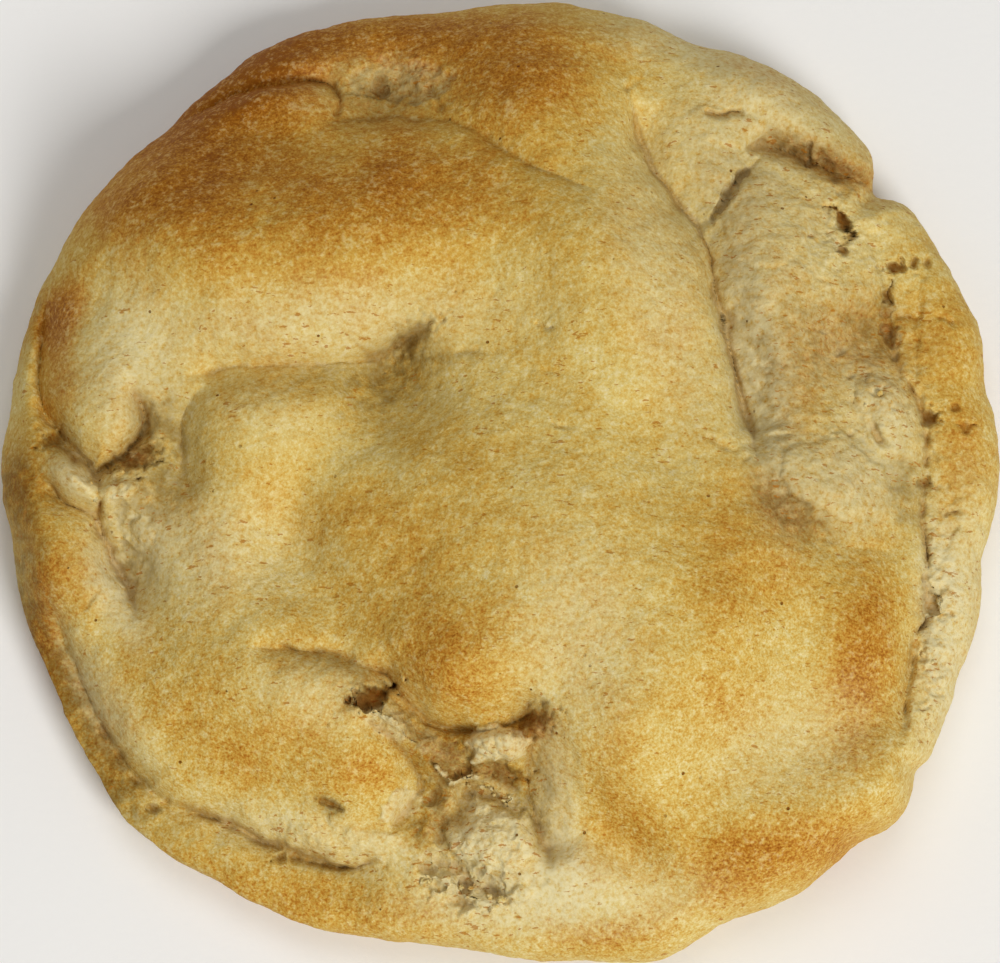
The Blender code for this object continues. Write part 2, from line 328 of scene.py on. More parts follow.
@dataclass(frozen=True)
class Fold(Line):
    """A fold of the dough: a round shoulder on the left of a curve, and a gentle apron on its right.

    Attributes:
        depth: How far it sinks at the curve.
        shoulder: Reach of the round shoulder.
        full: How full the shoulder is: its power.
        apron: Reach of the apron.
        torn: How far its depth varies along it, as a share.
        groove: Depth of a narrow groove along its foot, or 0 for none.
    """

    depth: float
    shoulder: float
    full: float
    apron: float
    torn: float = 0.0
    groove: float = 0.0

    def sunk(self, x: Array, y: Array, uneven: Array) -> Array:
        """How far the fold sinks the dough.

        Formula: depth * (1 - away / shoulder)^full on the left, depth * (1 - away / apron)^2 on the
        right, faded at both ends, times 1 + torn * uneven, which is held to 0..2.

        Args:
            x: Places to the right of the cookie's middle.
            y: Places to its back.
            uneven: Noise at the places, about -1 to 1.

        Returns:
            The depth at each place.
        """
        close, away, share = self.nearest(x, y, max(self.shoulder, self.apron))
        shoulder = (1.0 - np.clip(away / self.shoulder, 0.0, 1.0)) ** self.full
        apron = (1.0 - np.clip(-away / self.apron, 0.0, 1.0)) ** 2
        sunk = np.zeros(len(x))
        sunk[close] = self.depth * np.where(away > 0.0, shoulder, apron) * self.faded(share, FOLD_FADE)
        return sunk * np.clip(1.0 + self.torn * uneven, 0.0, 2.0)


@dataclass(frozen=True)
class Crack(Line):
    """A crack in the crust: its half width and its depth at the middle of its length."""

    width: float
    depth: float

    def sunk(self, x: Array, y: Array, uneven: Array) -> Array:
        """The depth it takes away.

        Formula: depth * exp(-(away / width)^2), faded at both ends, times 0.7 + uneven held to 0..1.3.

        Args:
            x: Places to the right of the cookie's middle.
            y: Places to its back.
            uneven: Noise at the places, about -1 to 1.

        Returns:
            The depth at each place.
        """
        close, away, share = self.nearest(x, y, 3.0 * self.width)
        sunk = np.zeros(len(x))
        sunk[close] = self.depth * self.faded(share, CRACK_FADE) * np.exp(-((away / self.width) ** 2))
        return sunk * np.clip(0.7 + uneven, 0.0, 1.3)


@dataclass(frozen=True)
class Region:
    """A part of the top, with its relief, the way it has baked and the shade painted by its moist stains."""

    swells: tuple[Swell, ...] = ()
    folds: tuple[Fold, ...] = ()
    cracks: tuple[Crack, ...] = ()
    pits: tuple[Pit, ...] = ()
    clumps: tuple[Clump, ...] = ()
    stains: tuple[Stain, ...] = ()

    def clefts(self) -> tuple[Crack, ...]:
        """Its cracks, and the grooves along the feet of its folds."""
        grooves = (Crack(fold.points, GROOVE_WIDTH, fold.groove) for fold in self.folds if fold.groove)
        return (*self.cracks, *grooves)


def back_left_shoulder() -> Region:
    """The high brown shoulder at the back left, and the long crease at its foot.

    Returns:
        The region.
    """
    return Region(
        swells=(
            Swell(-17.0, 25.0, 15.0, 9.0, 5.0, 6.0),
            Swell(-30.0, 23.0, 8.0, 9.0, 45.0, 6.0),
            Swell(-19.0, 36.0, 4.5, 3.0, 0.0, 2.2),
            Swell(-8.5, 8.0, 5.0, 4.0, 20.0, -2.6),
            Swell(-10.0, 10.2, 3.8, 1.8, 40.0, -1.3),
            Swell(-17.5, 9.6, 5.5, 1.4, 4.0, -0.7),
        ),
        folds=(
            Fold(
                ((-14.2, 34.5), (-15.8, 37.2), (-20.5, 37.1), (-25.0, 35.6), (-31.5, 32.0)),
                2.2, 4.5, 14.0, 2.6, groove=0.12,
            ),
            Fold(
                ((10.0, 26.6), (4.2, 28.9), (0.2, 31.0), (-2.6, 33.0), (-6.5, 33.9), (-17.5, 33.7)),
                1.3, 5.0, 9.0, 4.0,
            ),
            Fold(
                ((-29.0, 10.0), (-22.0, 10.8), (-14.5, 11.1), (-10.8, 11.8), (-8.6, 13.2), (-5.8, 15.2)),
                2.8, 5.0, 2.5, 4.5,
            ),
        ),
        cracks=(
            Crack(((-4.5, 11.8), (-3.0, 12.3), (-1.5, 12.1), (0.0, 12.2)), 0.3, 0.25),
        ),
        pits=(Pit(-7.8, 13.5, 2.6, 0.9, 48.0, 0.6),),
        stains=(
            Stain(-27.9, 30.8, 14.0, 6.5, 33.0, 0.44, Bake.BROWNED),
            Stain(-16.3, 26.4, 17.0, 9.5, 4.0, 0.26, Bake.BROWNED),
            Stain(-5.0, 28.0, 10.0, 4.5, -5.0, 0.16, Bake.BROWNED),
            Stain(-15.3, 14.9, 15.0, 3.6, 4.0, 0.48, Bake.PALE),
            # The moist stains here are painted shade: in the crease, along its crack and on the slope below
            # it, which faces away from the light.
            Stain(-8.0, 13.3, 2.8, 1.3, 48.0, 0.5, Bake.MOIST_AND_SHADE),
            Stain(-9.6, 9.2, 5.4, 3.5, 38.0, 0.9, Bake.MOIST_AND_SHADE),
            Stain(-4.0, 11.6, 3.6, 0.9, 5.0, 0.35, Bake.MOIST_AND_SHADE),
            Stain(-17.0, 9.6, 8.0, 1.2, 3.0, 0.35, Bake.MOIST_AND_SHADE),
        ),
    )


def back_rim() -> Region:
    """The low rim behind the shoulder, with its grey hollow and short cracks.

    Returns:
        The region.
    """
    return Region(
        swells=(
            Swell(2.5, 37.5, 9.0, 5.5, 0.0, 4.2),
            Swell(-9.0, 37.0, 6.5, 3.5, 0.0, -1.6),
            Swell(-12.5, 38.6, 2.2, 1.6, 0.0, 0.9),
            Swell(-7.6, 38.9, 2.0, 1.5, 0.0, 0.8),
        ),
        cracks=(
            Crack(((-11.3, 39.5), (-10.8, 37.5), (-10.8, 36.0)), 0.35, 0.7),
            Crack(((-6.5, 37.0), (-5.7, 35.3), (-4.8, 34.6)), 0.35, 0.5),
            Crack(((-14.8, 36.9), (-14.6, 35.3), (-14.8, 34.0)), 0.35, 0.5),
            Crack(((-4.2, 35.2), (-3.8, 34.4), (-3.4, 33.6)), 0.3, 0.4),
            Crack(((11.0, 36.6), (11.8, 37.0), (12.6, 37.7)), 0.3, 0.4),
        ),
        stains=(
            Stain(-23.0, 38.0, 9.0, 3.2, 27.0, 0.85, Bake.BROWNED),
            Stain(1.8, 39.0, 7.5, 4.6, 0.0, 0.45, Bake.BROWNED),
            Stain(-7.5, 42.0, 8.0, 2.2, 6.0, 0.40, Bake.BROWNED),
            Stain(-5.0, 37.0, 16.0, 7.0, 0.0, 0.12, Bake.BROWNED),
            Stain(-10.5, 36.2, 5.0, 2.6, 0.0, 0.6, Bake.MOIST_AND_SHADE),
            Stain(-11.5, 37.0, 5.5, 3.0, 0.0, 0.2, Bake.PALE),
            Stain(-9.0, 37.4, 6.0, 2.6, 0.0, 0.8, Bake.CRUMBLY),
        ),
    )


def long_ridge() -> Region:
    """The ridge that runs from the back down past the right of the middle, with its sharp right edge.

    Returns:
        The region.
    """
    return Region(
        swells=(Swell(9.0, 20.0, 18.0, 7.5, -70.0, 5.6),),
        folds=(
            Fold(
                ((23.4, 0.6), (21.7, 8.0), (19.4, 17.5), (18.3, 22.5), (13.3, 30.2), (11.6, 37.5)),
                4.0, 5.5, 6.0, 6.5, groove=0.2,
            ),
        ),
        cracks=(
            Crack(((18.5, 4.2), (20.0, 3.4), (21.3, 3.0), (22.6, 1.9)), 0.35, 0.5),
            Crack(((2.0, 11.2), (3.5, 10.3), (6.0, 10.1)), 0.25, 0.2),
            Crack(((3.0, 14.8), (3.8, 14.6), (4.2, 14.3), (5.2, 14.5)), 0.2, 0.3),
            Crack(((4.4, 5.9), (5.2, 5.3), (6.6, 5.0)), 0.2, 0.3),
        ),
        stains=(
            Stain(14.6, 17.0, 12.0, 3.8, -75.0, 0.40, Bake.PALE),
            # Painted shade on the ridge's flank where it rounds down to its right edge.
            Stain(17.0, 4.0, 3.0, 7.0, -15.0, 0.2, Bake.MOIST_AND_SHADE),
        ),
    )


def middle_dome() -> Region:
    """The dome in the middle, whose round tip hangs over the front tear.

    Returns:
        The region.
    """
    return Region(
        swells=(
            Swell(3.0, -5.0, 16.0, 12.0, -45.0, 6.2),
            Swell(-3.5, -16.5, 7.0, 6.5, 0.0, 3.8),
            Swell(-12.0, 5.0, 6.0, 4.0, 60.0, -1.2),
            Swell(-19.0, -4.0, 7.0, 3.6, 75.0, -2.6),
            Swell(-15.5, -11.5, 6.0, 3.0, -55.0, -1.6),
            Swell(14.0, 4.0, 9.0, 3.5, -60.0, -1.4),
        ),
        folds=(
            Fold(
                (
                    (-13.2, -16.9), (-10.4, -18.2), (-8.2, -20.8), (-5.8, -22.9),
                    (-2.6, -23.5), (0.6, -22.9), (4.6, -20.4),
                ),
                3.6, 5.6, 2.8, 2.6,
            ),
            Fold(
                ((-23.0, -15.3), (-18.4, -15.9), (-14.4, -16.3), (-10.0, -18.6), (-7.6, -21.6)),
                1.6, 4.2, 2.8, 2.8,
            ),
        ),
        stains=(
            Stain(-6.3, -10.2, 9.5, 11.5, 0.0, 0.11, Bake.BROWNED),
            Stain(-4.8, -18.6, 4.8, 5.0, 0.0, 0.14, Bake.BROWNED),
            Stain(-6.5, -12.5, 5.5, 8.5, 15.0, 0.09, Bake.BROWNED),
            Stain(-15.3, -4.5, 9.0, 5.5, 0.0, 0.07, Bake.BROWNED),
            Stain(21.6, -7.3, 7.5, 6.5, -25.0, 0.20, Bake.BROWNED),
            Stain(7.2, -14.4, 5.6, 9.0, 5.0, 0.45, Bake.PALE),
        ),
    )


def front_right_lobe() -> Region:
    """The broad lobe at the front right, brown along its outer edges.

    Returns:
        The region.
    """
    return Region(
        swells=(
            Swell(21.0, -15.0, 13.0, 13.0, 0.0, 4.2),
            Swell(33.0, -15.0, 9.0, 4.5, 80.0, 3.2),
            Swell(12.0, -25.0, 8.0, 6.0, -60.0, 3.4),
            Swell(25.0, -32.0, 10.0, 6.0, 20.0, 5.6),
            Swell(36.0, -27.0, 6.0, 5.0, 60.0, 3.4),
            Swell(8.0, -37.5, 8.0, 4.0, -10.0, 2.4),
            Swell(25.5, -13.0, 3.5, 8.0, 5.0, -1.2),
            Swell(10.5, -33.4, 7.0, 2.2, -50.0, -1.5),
        ),
        folds=(
            Fold(((37.5, -6.5), (31.0, -6.0), (27.0, -4.2), (24.3, -0.8), (22.4, 2.4)), 1.0, 6.5, 1.8, 5.0),
            Fold(
                ((1.6, -22.0), (2.6, -25.0), (2.4, -28.5), (3.4, -32.0), (5.0, -36.4)),
                2.2, 5.2, 1.5, 2.2,
            ),
        ),
        stains=(
            Stain(32.9, -16.5, 3.4, 9.0, -8.0, 0.46, Bake.BROWNED),
            Stain(26.1, -35.0, 9.5, 3.6, 18.0, 0.36, Bake.BROWNED),
            Stain(17.0, -33.6, 8.0, 3.4, 0.0, 0.20, Bake.BROWNED),
            Stain(11.5, -31.2, 6.0, 2.8, -50.0, 0.15, Bake.BROWNED),
            Stain(17.0, -21.5, 12.0, 9.0, 0.0, 0.04, Bake.BROWNED),
            Stain(9.5, -42.5, 4.4, 1.7, 0.0, 0.35, Bake.BROWNED),
            Stain(27.0, -24.2, 7.0, 5.0, 15.0, 0.35, Bake.PALE),
            Stain(10.0, -39.0, 9.0, 3.2, 0.0, 0.45, Bake.PALE),
            Stain(4.0, -30.0, 1.6, 6.0, 5.0, 0.45, Bake.MOIST_AND_SHADE),
        ),
    )


def front_left_lobe() -> Region:
    """The lobe at the front left, whose lip hangs over the low rim.

    Returns:
        The region.
    """
    return Region(
        swells=(
            Swell(-24.0, -20.0, 13.0, 8.0, 0.0, 3.0),
            Swell(-14.0, -27.5, 5.0, 4.0, 0.0, 1.6),
            Swell(-21.5, 5.5, 7.0, 6.0, -20.0, 1.2),
            Swell(-40.0, -22.5, 13.0, 3.2, -60.0, -3.4),
            Swell(-24.0, -40.0, 15.0, 3.4, -24.0, -2.6),
        ),
        folds=(
            Fold(
                (
                    (-41.6, -8.5), (-39.9, -13.5), (-37.4, -19.2), (-35.2, -24.2),
                    (-32.4, -27.9), (-29.8, -30.3), (-25.2, -31.6), (-20.6, -33.9),
                    (-15.0, -35.9), (-11.0, -36.2), (-7.6, -34.4),
                ),
                3.3, 3.0, 2.0, 9.0,
            ),
            Fold(((-9.6, -33.0), (-7.6, -28.6), (-9.0, -25.2), (-13.0, -21.4)), 1.9, 3.0, 3.0, 2.4),
        ),
        cracks=(
            Crack(((-38.8, -15.6), (-37.0, -20.2), (-34.8, -24.8), (-31.6, -28.9), (-28.0, -31.0)), 0.4, 0.7),
            Crack(((-30.0, -30.2), (-25.6, -31.5), (-20.6, -34.1), (-15.0, -36.0), (-8.4, -34.8)), 0.35, 0.7),
            Crack(((-29.0, 4.4), (-28.8, 2.0), (-28.9, -0.8)), 0.3, 0.3),
            Crack(
                ((-22.4, -15.4), (-19.8, -15.3), (-18.0, -16.0), (-15.8, -15.7), (-13.6, -16.8)),
                0.25, 0.4,
            ),
        ),
        clumps=(
            Clump(-14.2, -31.7, 1.2, 0.8, 30.0, 0.4, pale=0.15),
            Clump(-16.6, -33.6, 3.2, 1.3, -14.0, 0.35, pale=0.4),
        ),
        pits=(
            Pit(-15.4, -30.2, 0.9, 0.3, -25.0, 0.9),
            Pit(-19.8, -35.2, 0.5, 0.4, 0.0, 0.8),
            Pit(-15.8, -36.0, 0.5, 0.4, 0.0, 0.8),
            Pit(-31.2, -30.7, 0.5, 0.5, 0.0, 0.8),
        ),
        stains=(
            Stain(-22.0, -25.1, 8.5, 4.4, -12.0, 0.18, Bake.BROWNED),
            Stain(-12.4, -27.6, 2.8, 2.0, 0.0, 0.18, Bake.BROWNED),
            Stain(-31.5, -18.0, 6.0, 4.5, -30.0, 0.12, Bake.BROWNED),
            # These moist stains paint the shade under the lip, on the low left rim.
            Stain(-39.6, -19.0, 9.5, 2.2, -64.0, 1.2, Bake.MOIST_AND_SHADE),
            Stain(-35.6, -27.2, 6.0, 2.0, -48.0, 1.0, Bake.MOIST_AND_SHADE),
            Stain(-38.0, -22.5, 12.0, 2.6, -60.0, 0.14, Bake.BROWNED),
            # Painted shade under the lip at the front.
            Stain(-19.0, -35.2, 8.0, 0.8, -18.0, 0.35, Bake.MOIST_AND_SHADE),
            Stain(-18.0, -39.4, 14.0, 3.2, -12.0, 0.22, Bake.BROWNED),
            Stain(-27.0, -6.4, 8.0, 5.5, 0.0, 0.5, Bake.PALE),
            Stain(-15.3, -19.8, 6.5, 3.4, -10.0, 0.35, Bake.PALE),
            Stain(-35.3, -20.0, 8.0, 1.7, -60.0, 0.40, Bake.PALE),
            Stain(-37.0, -20.6, 5.0, 1.1, -64.0, 0.60, Bake.PALE),
            # Painted shade on the low rim under the lip.
            Stain(-27.5, -34.8, 6.0, 2.4, -25.0, 0.25, Bake.MOIST_AND_SHADE),
            Stain(-16.5, -33.2, 9.0, 2.2, -12.0, 0.45, Bake.PALE),
            Stain(-21.2, 6.6, 5.5, 3.2, -10.0, 0.20, Bake.PALE),
            # Painted shade in the valley left of the lump, which faces away from the light.
            Stain(-30.2, 3.8, 2.6, 5.2, 0.0, 0.95, Bake.MOIST_AND_SHADE),
            # Painted shade in the pit.
            Stain(-15.4, -30.4, 1.8, 0.9, -22.0, 0.8, Bake.MOIST_AND_SHADE),
            Stain(-16.5, -33.0, 6.0, 2.4, -14.0, 0.35, Bake.CRUMBLY),
        ),
    )


def left_knob() -> Region:
    """The knob, the small ball and the flap at the left rim, round a brown hole.

    Returns:
        The region.
    """
    return Region(
        swells=(
            Swell(-36.0, 8.0, 5.5, 8.0, 0.0, 4.8),
            Swell(-38.2, 0.3, 2.7, 1.5, -42.0, 2.8),
            Swell(-34.0, -1.1, 1.9, 1.2, 20.0, 1.4),
            Swell(-34.6, 1.6, 1.6, 1.0, 50.0, 1.2),
            Swell(-40.0, -7.0, 4.0, 7.0, 10.0, 3.6),
            Swell(-43.0, 3.0, 2.4, 5.0, 5.0, 1.4),
            Swell(-29.5, 3.5, 2.6, 6.5, 0.0, -2.0),
            Swell(-33.0, -8.0, 2.2, 4.0, 20.0, -2.4),
        ),
        folds=(
            Fold(((-28.0, -2.0), (-28.5, 3.0), (-28.2, 7.0), (-25.5, 10.2)), 1.0, 2.6, 2.0, 3.4),
            Fold(
                (
                    (-40.2, 19.0), (-41.2, 13.5), (-41.0, 6.6), (-37.6, 2.2),
                    (-35.9, 0.8), (-31.9, 5.4), (-34.0, 10.6),
                ),
                3.0, 3.6, 3.6, 1.8, groove=0.12,
            ),
            Fold(
                (
                    (-32.0, -13.0), (-34.0, -9.2), (-35.4, -5.6), (-36.4, -3.3),
                    (-38.2, -2.6), (-40.0, -1.3), (-41.6, 0.8),
                ),
                2.0, 3.2, 3.0, 1.8, groove=0.15,
            ),
        ),
        cracks=(
            Crack(
                ((-41.0, 4.0), (-39.0, 2.7), (-37.0, 0.8), (-36.0, -0.5), (-36.2, -3.5), (-35.6, -6.0)),
                0.45, 1.0,
            ),
            Crack(((-39.5, -12.2), (-38.0, -12.2), (-37.0, -11.0), (-36.0, -10.2)), 0.2, 0.25),
        ),
        pits=(
            Pit(-32.6, 2.0, 1.8, 0.9, 25.0, 0.9),
            Pit(-40.3, 3.8, 1.0, 0.8, 0.0, 0.9),
        ),
        clumps=(
            Clump(-33.1, 2.5, 0.6, 0.4, 0.0, 0.5),
            Clump(-34.2, -0.9, 1.6, 0.9, 20.0, 0.35, pale=0.5),
            Clump(-32.6, -4.6, 1.2, 1.9, 10.0, 0.25, pale=0.4),
        ),
        stains=(
            Stain(-39.8, 15.6, 3.6, 1.9, 60.0, 0.60, Bake.BROWNED),
            Stain(-39.8, 9.5, 2.0, 4.0, 0.0, 0.30, Bake.BROWNED),
            Stain(-41.0, -8.8, 2.2, 4.2, 5.0, 0.30, Bake.BROWNED),
            # Painted shade on the left rim, which slopes away from the light.
            Stain(-42.6, 16.0, 10.0, 1.6, 74.0, 0.35, Bake.MOIST_AND_SHADE),
            Stain(-33.3, 10.4, 4.6, 8.0, 0.0, 0.65, Bake.PALE),
            Stain(-34.6, -10.0, 2.0, 5.0, 20.0, 0.95, Bake.PALE),
            Stain(-40.6, -15.4, 1.6, 4.0, 14.0, 0.25, Bake.BROWNED),
            Stain(-38.0, 0.2, 2.7, 1.5, -42.0, 0.9, Bake.PALE),
            # Painted shade on the left rim and in the two holes.
            Stain(-41.0, -1.0, 1.6, 2.2, 30.0, 0.5, Bake.MOIST_AND_SHADE),
            Stain(-32.8, 2.2, 2.2, 1.3, 25.0, 0.9, Bake.MOIST_AND_SHADE),
            Stain(-40.2, 3.6, 1.6, 1.2, 0.0, 0.8, Bake.MOIST_AND_SHADE),
            Stain(-32.8, -7.0, 1.8, 3.6, 12.0, 0.7, Bake.MOIST_AND_SHADE),
            Stain(-32.6, -4.5, 2.4, 5.0, 10.0, 0.5, Bake.PALE),
            # Painted shade on the left rim, which slopes away from the light.
            Stain(-43.4, -0.5, 2.2, 3.6, 0.0, 1.0, Bake.MOIST_AND_SHADE),
            Stain(-42.8, -8.5, 2.2, 6.0, 4.0, 0.6, Bake.MOIST_AND_SHADE),
            Stain(-38.4, -9.0, 2.6, 5.0, 12.0, 0.12, Bake.BROWNED),
            Stain(-38.4, -9.0, 3.0, 5.0, 12.0, 0.25, Bake.MOIST_AND_SHADE),
            Stain(-43.0, 1.0, 2.4, 5.0, 0.0, 0.25, Bake.BROWNED),
            Stain(-31.2, -1.9, 2.6, 2.6, 0.0, 0.6, Bake.MOIST_AND_SHADE),
            Stain(-33.0, 2.2, 1.8, 1.0, 25.0, 0.3, Bake.BROWNED),
            Stain(-34.6, -0.4, 4.0, 3.0, -30.0, 0.42, Bake.CRUMBLY),
            Stain(-33.2, -6.0, 2.0, 5.0, 15.0, 0.42, Bake.CRUMBLY),
            Stain(-37.0, -11.0, 3.5, 2.5, 0.0, 0.3, Bake.CRUMBLY),
            Stain(-41.0, -5.5, 4.0, 3.6, 0.0, -0.8, Bake.CRUMBLY),
        ),
    )


def torn_right() -> Region:
    """The torn part at the right, between the ridge and the rim.

    Returns:
        The region.
    """
    return Region(
        swells=(
            Swell(26.0, 20.5, 7.0, 7.5, 0.0, 3.2),
            Swell(29.5, -0.5, 7.0, 5.5, 10.0, 1.6),
            Swell(35.3, 7.0, 2.4, 5.0, 20.0, 2.0),
            Swell(18.0, 33.0, 5.5, 4.5, 0.0, 1.8),
            Swell(26.0, 35.5, 9.0, 3.5, -35.0, 2.4),
            Swell(32.5, 13.5, 4.5, 3.2, 20.0, -1.8),
            Swell(26.2, -3.2, 5.0, 2.0, -35.0, -1.2),
        ),
        folds=(
            Fold(((21.6, 31.2), (24.6, 31.4), (28.0, 30.0), (31.0, 28.6), (35.0, 27.0)), 2.2, 2.4, 2.6, 2.2),
            Fold(((17.8, 22.4), (19.6, 25.4), (21.6, 28.8), (24.4, 31.0)), 0.9, 1.8, 2.2, 1.8),
        ),
        cracks=(
            Crack(((18.3, 23.5), (19.0, 24.6), (20.8, 27.5), (23.0, 31.3)), 0.35, 0.7),
            Crack(((18.0, 34.8), (20.0, 34.4), (21.0, 34.7), (22.3, 34.7)), 0.3, 0.7),
            Crack(((23.6, 33.4), (25.0, 32.0), (27.5, 30.9), (30.0, 29.7), (33.0, 28.0)), 0.7, 0.5),
            Crack(((35.0, 15.5), (37.0, 15.3), (39.8, 15.4), (41.2, 14.0)), 0.3, 0.6),
            Crack(((31.0, 8.5), (32.0, 7.0), (33.2, 5.8), (35.0, 2.8), (37.5, 1.5)), 0.4, 0.6),
            Crack(((22.8, 3.5), (24.5, 4.1), (26.5, 4.5)), 0.3, 0.4),
            Crack(((34.3, 16.0), (34.7, 14.0), (35.0, 12.5), (35.8, 11.6)), 0.4, 1.0),
        ),
        pits=(
            Pit(35.5, 20.1, 0.7, 0.5, 0.0, 1.2),
            Pit(37.1, 20.4, 0.3, 0.7, 0.0, 0.9),
            Pit(38.3, 20.5, 0.3, 0.7, 0.0, 0.8),
            Pit(35.0, 17.7, 0.4, 0.7, 0.0, 1.2),
            Pit(30.8, 24.2, 1.3, 0.5, -60.0, 1.4),
            Pit(29.9, 25.7, 0.5, 0.35, 0.0, 0.9),
            Pit(31.0, 21.6, 0.45, 0.4, 0.0, 1.0),
        ),
        clumps=(
            Clump(35.0, 5.8, 2.4, 4.8, 25.0, 0.6, pale=0.35),
            Clump(30.2, 0.2, 5.2, 3.6, -24.0, 0.5, pale=0.35),
            Clump(31.5, 19.5, 2.6, 4.2, 10.0, 0.4, pale=0.3),
            Clump(24.0, 24.5, 4.0, 4.4, 0.0, 0.4, pale=0.3),
            Clump(32.8, 25.0, 2.0, 2.4, 30.0, 0.4, pale=0.2),
            Clump(20.5, 33.0, 3.4, 1.8, -20.0, 0.4, pale=0.4),
        ),
        stains=(
            Stain(20.5, 31.5, 7.0, 6.5, 0.0, 0.55, Bake.PALE),
            Stain(26.1, 22.6, 8.5, 6.5, 0.0, 0.45, Bake.PALE),
            Stain(34.7, 6.7, 3.0, 5.0, 25.0, 0.6, Bake.PALE),
            Stain(31.4, 0.2, 6.0, 5.0, 0.0, 0.7, Bake.PALE),
            # Painted shade in the valley along the plate's edge.
            Stain(25.8, -2.2, 5.0, 1.8, -38.0, 1.0, Bake.MOIST_AND_SHADE),
            Stain(25.6, -2.4, 5.0, 1.8, -38.0, 0.12, Bake.BROWNED),
            Stain(31.0, -1.0, 8.0, 6.0, 0.0, 0.35, Bake.MOIST_AND_SHADE),
            Stain(23.2, 10.0, 2.4, 12.0, 10.0, 0.9, Bake.PALE),
            # Painted shade along the foot of the ridge's right edge.
            Stain(24.0, 6.0, 2.2, 6.0, 10.0, 0.4, Bake.MOIST_AND_SHADE),
            Stain(22.0, 18.0, 1.6, 7.0, 12.0, 0.35, Bake.MOIST_AND_SHADE),
            Stain(28.0, 12.0, 7.0, 6.0, 0.0, 0.35, Bake.PALE),
            Stain(26.6, 11.0, 5.0, 6.0, 0.0, 0.10, Bake.BROWNED),
            Stain(33.4, 15.2, 2.6, 4.0, 20.0, 0.7, Bake.MOIST_AND_SHADE),
            # Painted soft shade on the torn dough.
            Stain(26.4, 12.5, 4.0, 5.0, 0.0, 0.3, Bake.MOIST_AND_SHADE),
            Stain(20.5, 28.5, 4.0, 5.0, -30.0, 0.4, Bake.MOIST_AND_SHADE),
            Stain(36.4, 0.0, 1.4, 5.0, 5.0, 0.5, Bake.MOIST_AND_SHADE),
            Stain(32.9, 13.0, 4.0, 4.2, 0.0, 0.30, Bake.BROWNED),
            Stain(23.4, 38.3, 4.0, 1.6, -35.0, 0.20, Bake.BROWNED),
            Stain(24.0, 37.5, 14.0, 3.5, -38.0, 0.45, Bake.PALE),
            Stain(14.5, 41.5, 6.0, 2.5, -15.0, 0.35, Bake.PALE),
            # These two stains paint the shadow under the overhanging rim, in the deep crack.
            Stain(28.8, 30.2, 5.0, 1.4, -27.0, 1.2, Bake.MOIST_AND_SHADE),
            Stain(28.8, 30.2, 5.0, 1.6, -27.0, 0.35, Bake.BROWNED),
            # Painted soft shade on the torn dough.
            Stain(27.5, 13.0, 6.0, 6.0, 0.0, 0.3, Bake.MOIST_AND_SHADE),
            Stain(28.5, 29.9, 5.5, 1.5, -28.0, 0.3, Bake.CRUMBLY),
            Stain(20.5, 27.0, 5.0, 0.9, 58.0, 0.6, Bake.CRUMBLY),
            Stain(30.6, 24.0, 3.0, 3.0, 0.0, 0.2, Bake.CRUMBLY),
            Stain(34.8, 6.5, 2.4, 4.8, 25.0, 0.12, Bake.CRUMBLY),
            Stain(35.4, 15.5, 1.6, 5.0, 0.0, 0.3, Bake.CRUMBLY),
            Stain(29.5, 12.0, 8.0, 20.0, 0.0, 0.38, Bake.CRUMBLY),
        ),
    )


def right_rim() -> Region:
    """The low rim at the right, and the ragged trench inside it.

    Returns:
        The region.
    """
    return Region(
        folds=(
            Fold(
                (
                    (35.4, -28.6), (36.6, -20.0), (38.4, -11.0), (38.1, 0.0),
                    (38.5, 5.5), (35.4, 12.0), (35.0, 19.5),
                ),
                0.85, 3.0, 4.5, 1.2, torn=0.5,
            ),
        ),
        cracks=(
            Crack(
                (
                    (35.8, -26.3), (36.5, -23.0), (36.7, -19.0), (37.5, -15.0), (38.7, -11.0),
                    (38.2, -6.0), (38.1, -0.3), (38.3, 4.0), (37.3, 8.0), (35.7, 11.8),
                ),
                0.22, 0.6,
            ),
        ),
        pits=(
            Pit(38.6, 5.9, 0.8, 0.7, 0.0, 1.2),
            Pit(38.1, -0.3, 0.6, 0.5, 0.0, 1.0),
            Pit(38.7, -11.5, 0.4, 1.0, 0.0, 0.8),
            Pit(41.0, 7.0, 0.4, 0.4, 0.0, 0.6),
            Pit(41.8, 5.1, 0.5, 0.5, 0.0, 0.7),
            Pit(40.7, -2.9, 0.5, 0.3, 0.0, 0.6),
            Pit(40.7, -12.3, 0.3, 0.3, 0.0, 0.6),
        ),
        clumps=(
            Clump(41.6, 8.6, 3.8, 13.0, 8.0, 0.7, pale=0.0),
            Clump(40.9, -13.5, 2.2, 12.5, -9.0, 0.5, pale=0.5),
        ),
        stains=(
            Stain(40.0, 12.2, 3.8, 8.0, 8.0, 0.21, Bake.BROWNED),
            Stain(41.8, 2.0, 2.8, 4.4, 0.0, 0.22, Bake.BROWNED),
            Stain(40.6, -14.5, 2.6, 12.0, -8.0, 0.9, Bake.PALE),
            Stain(39.2, -9.0, 1.6, 6.0, 0.0, 0.8, Bake.PALE),
            Stain(38.9, -10.0, 1.5, 18.0, -2.0, 0.4, Bake.CRUMBLY),
            Stain(40.2, -15.0, 2.2, 9.0, -8.0, 0.3, Bake.CRUMBLY),
        ),
    )


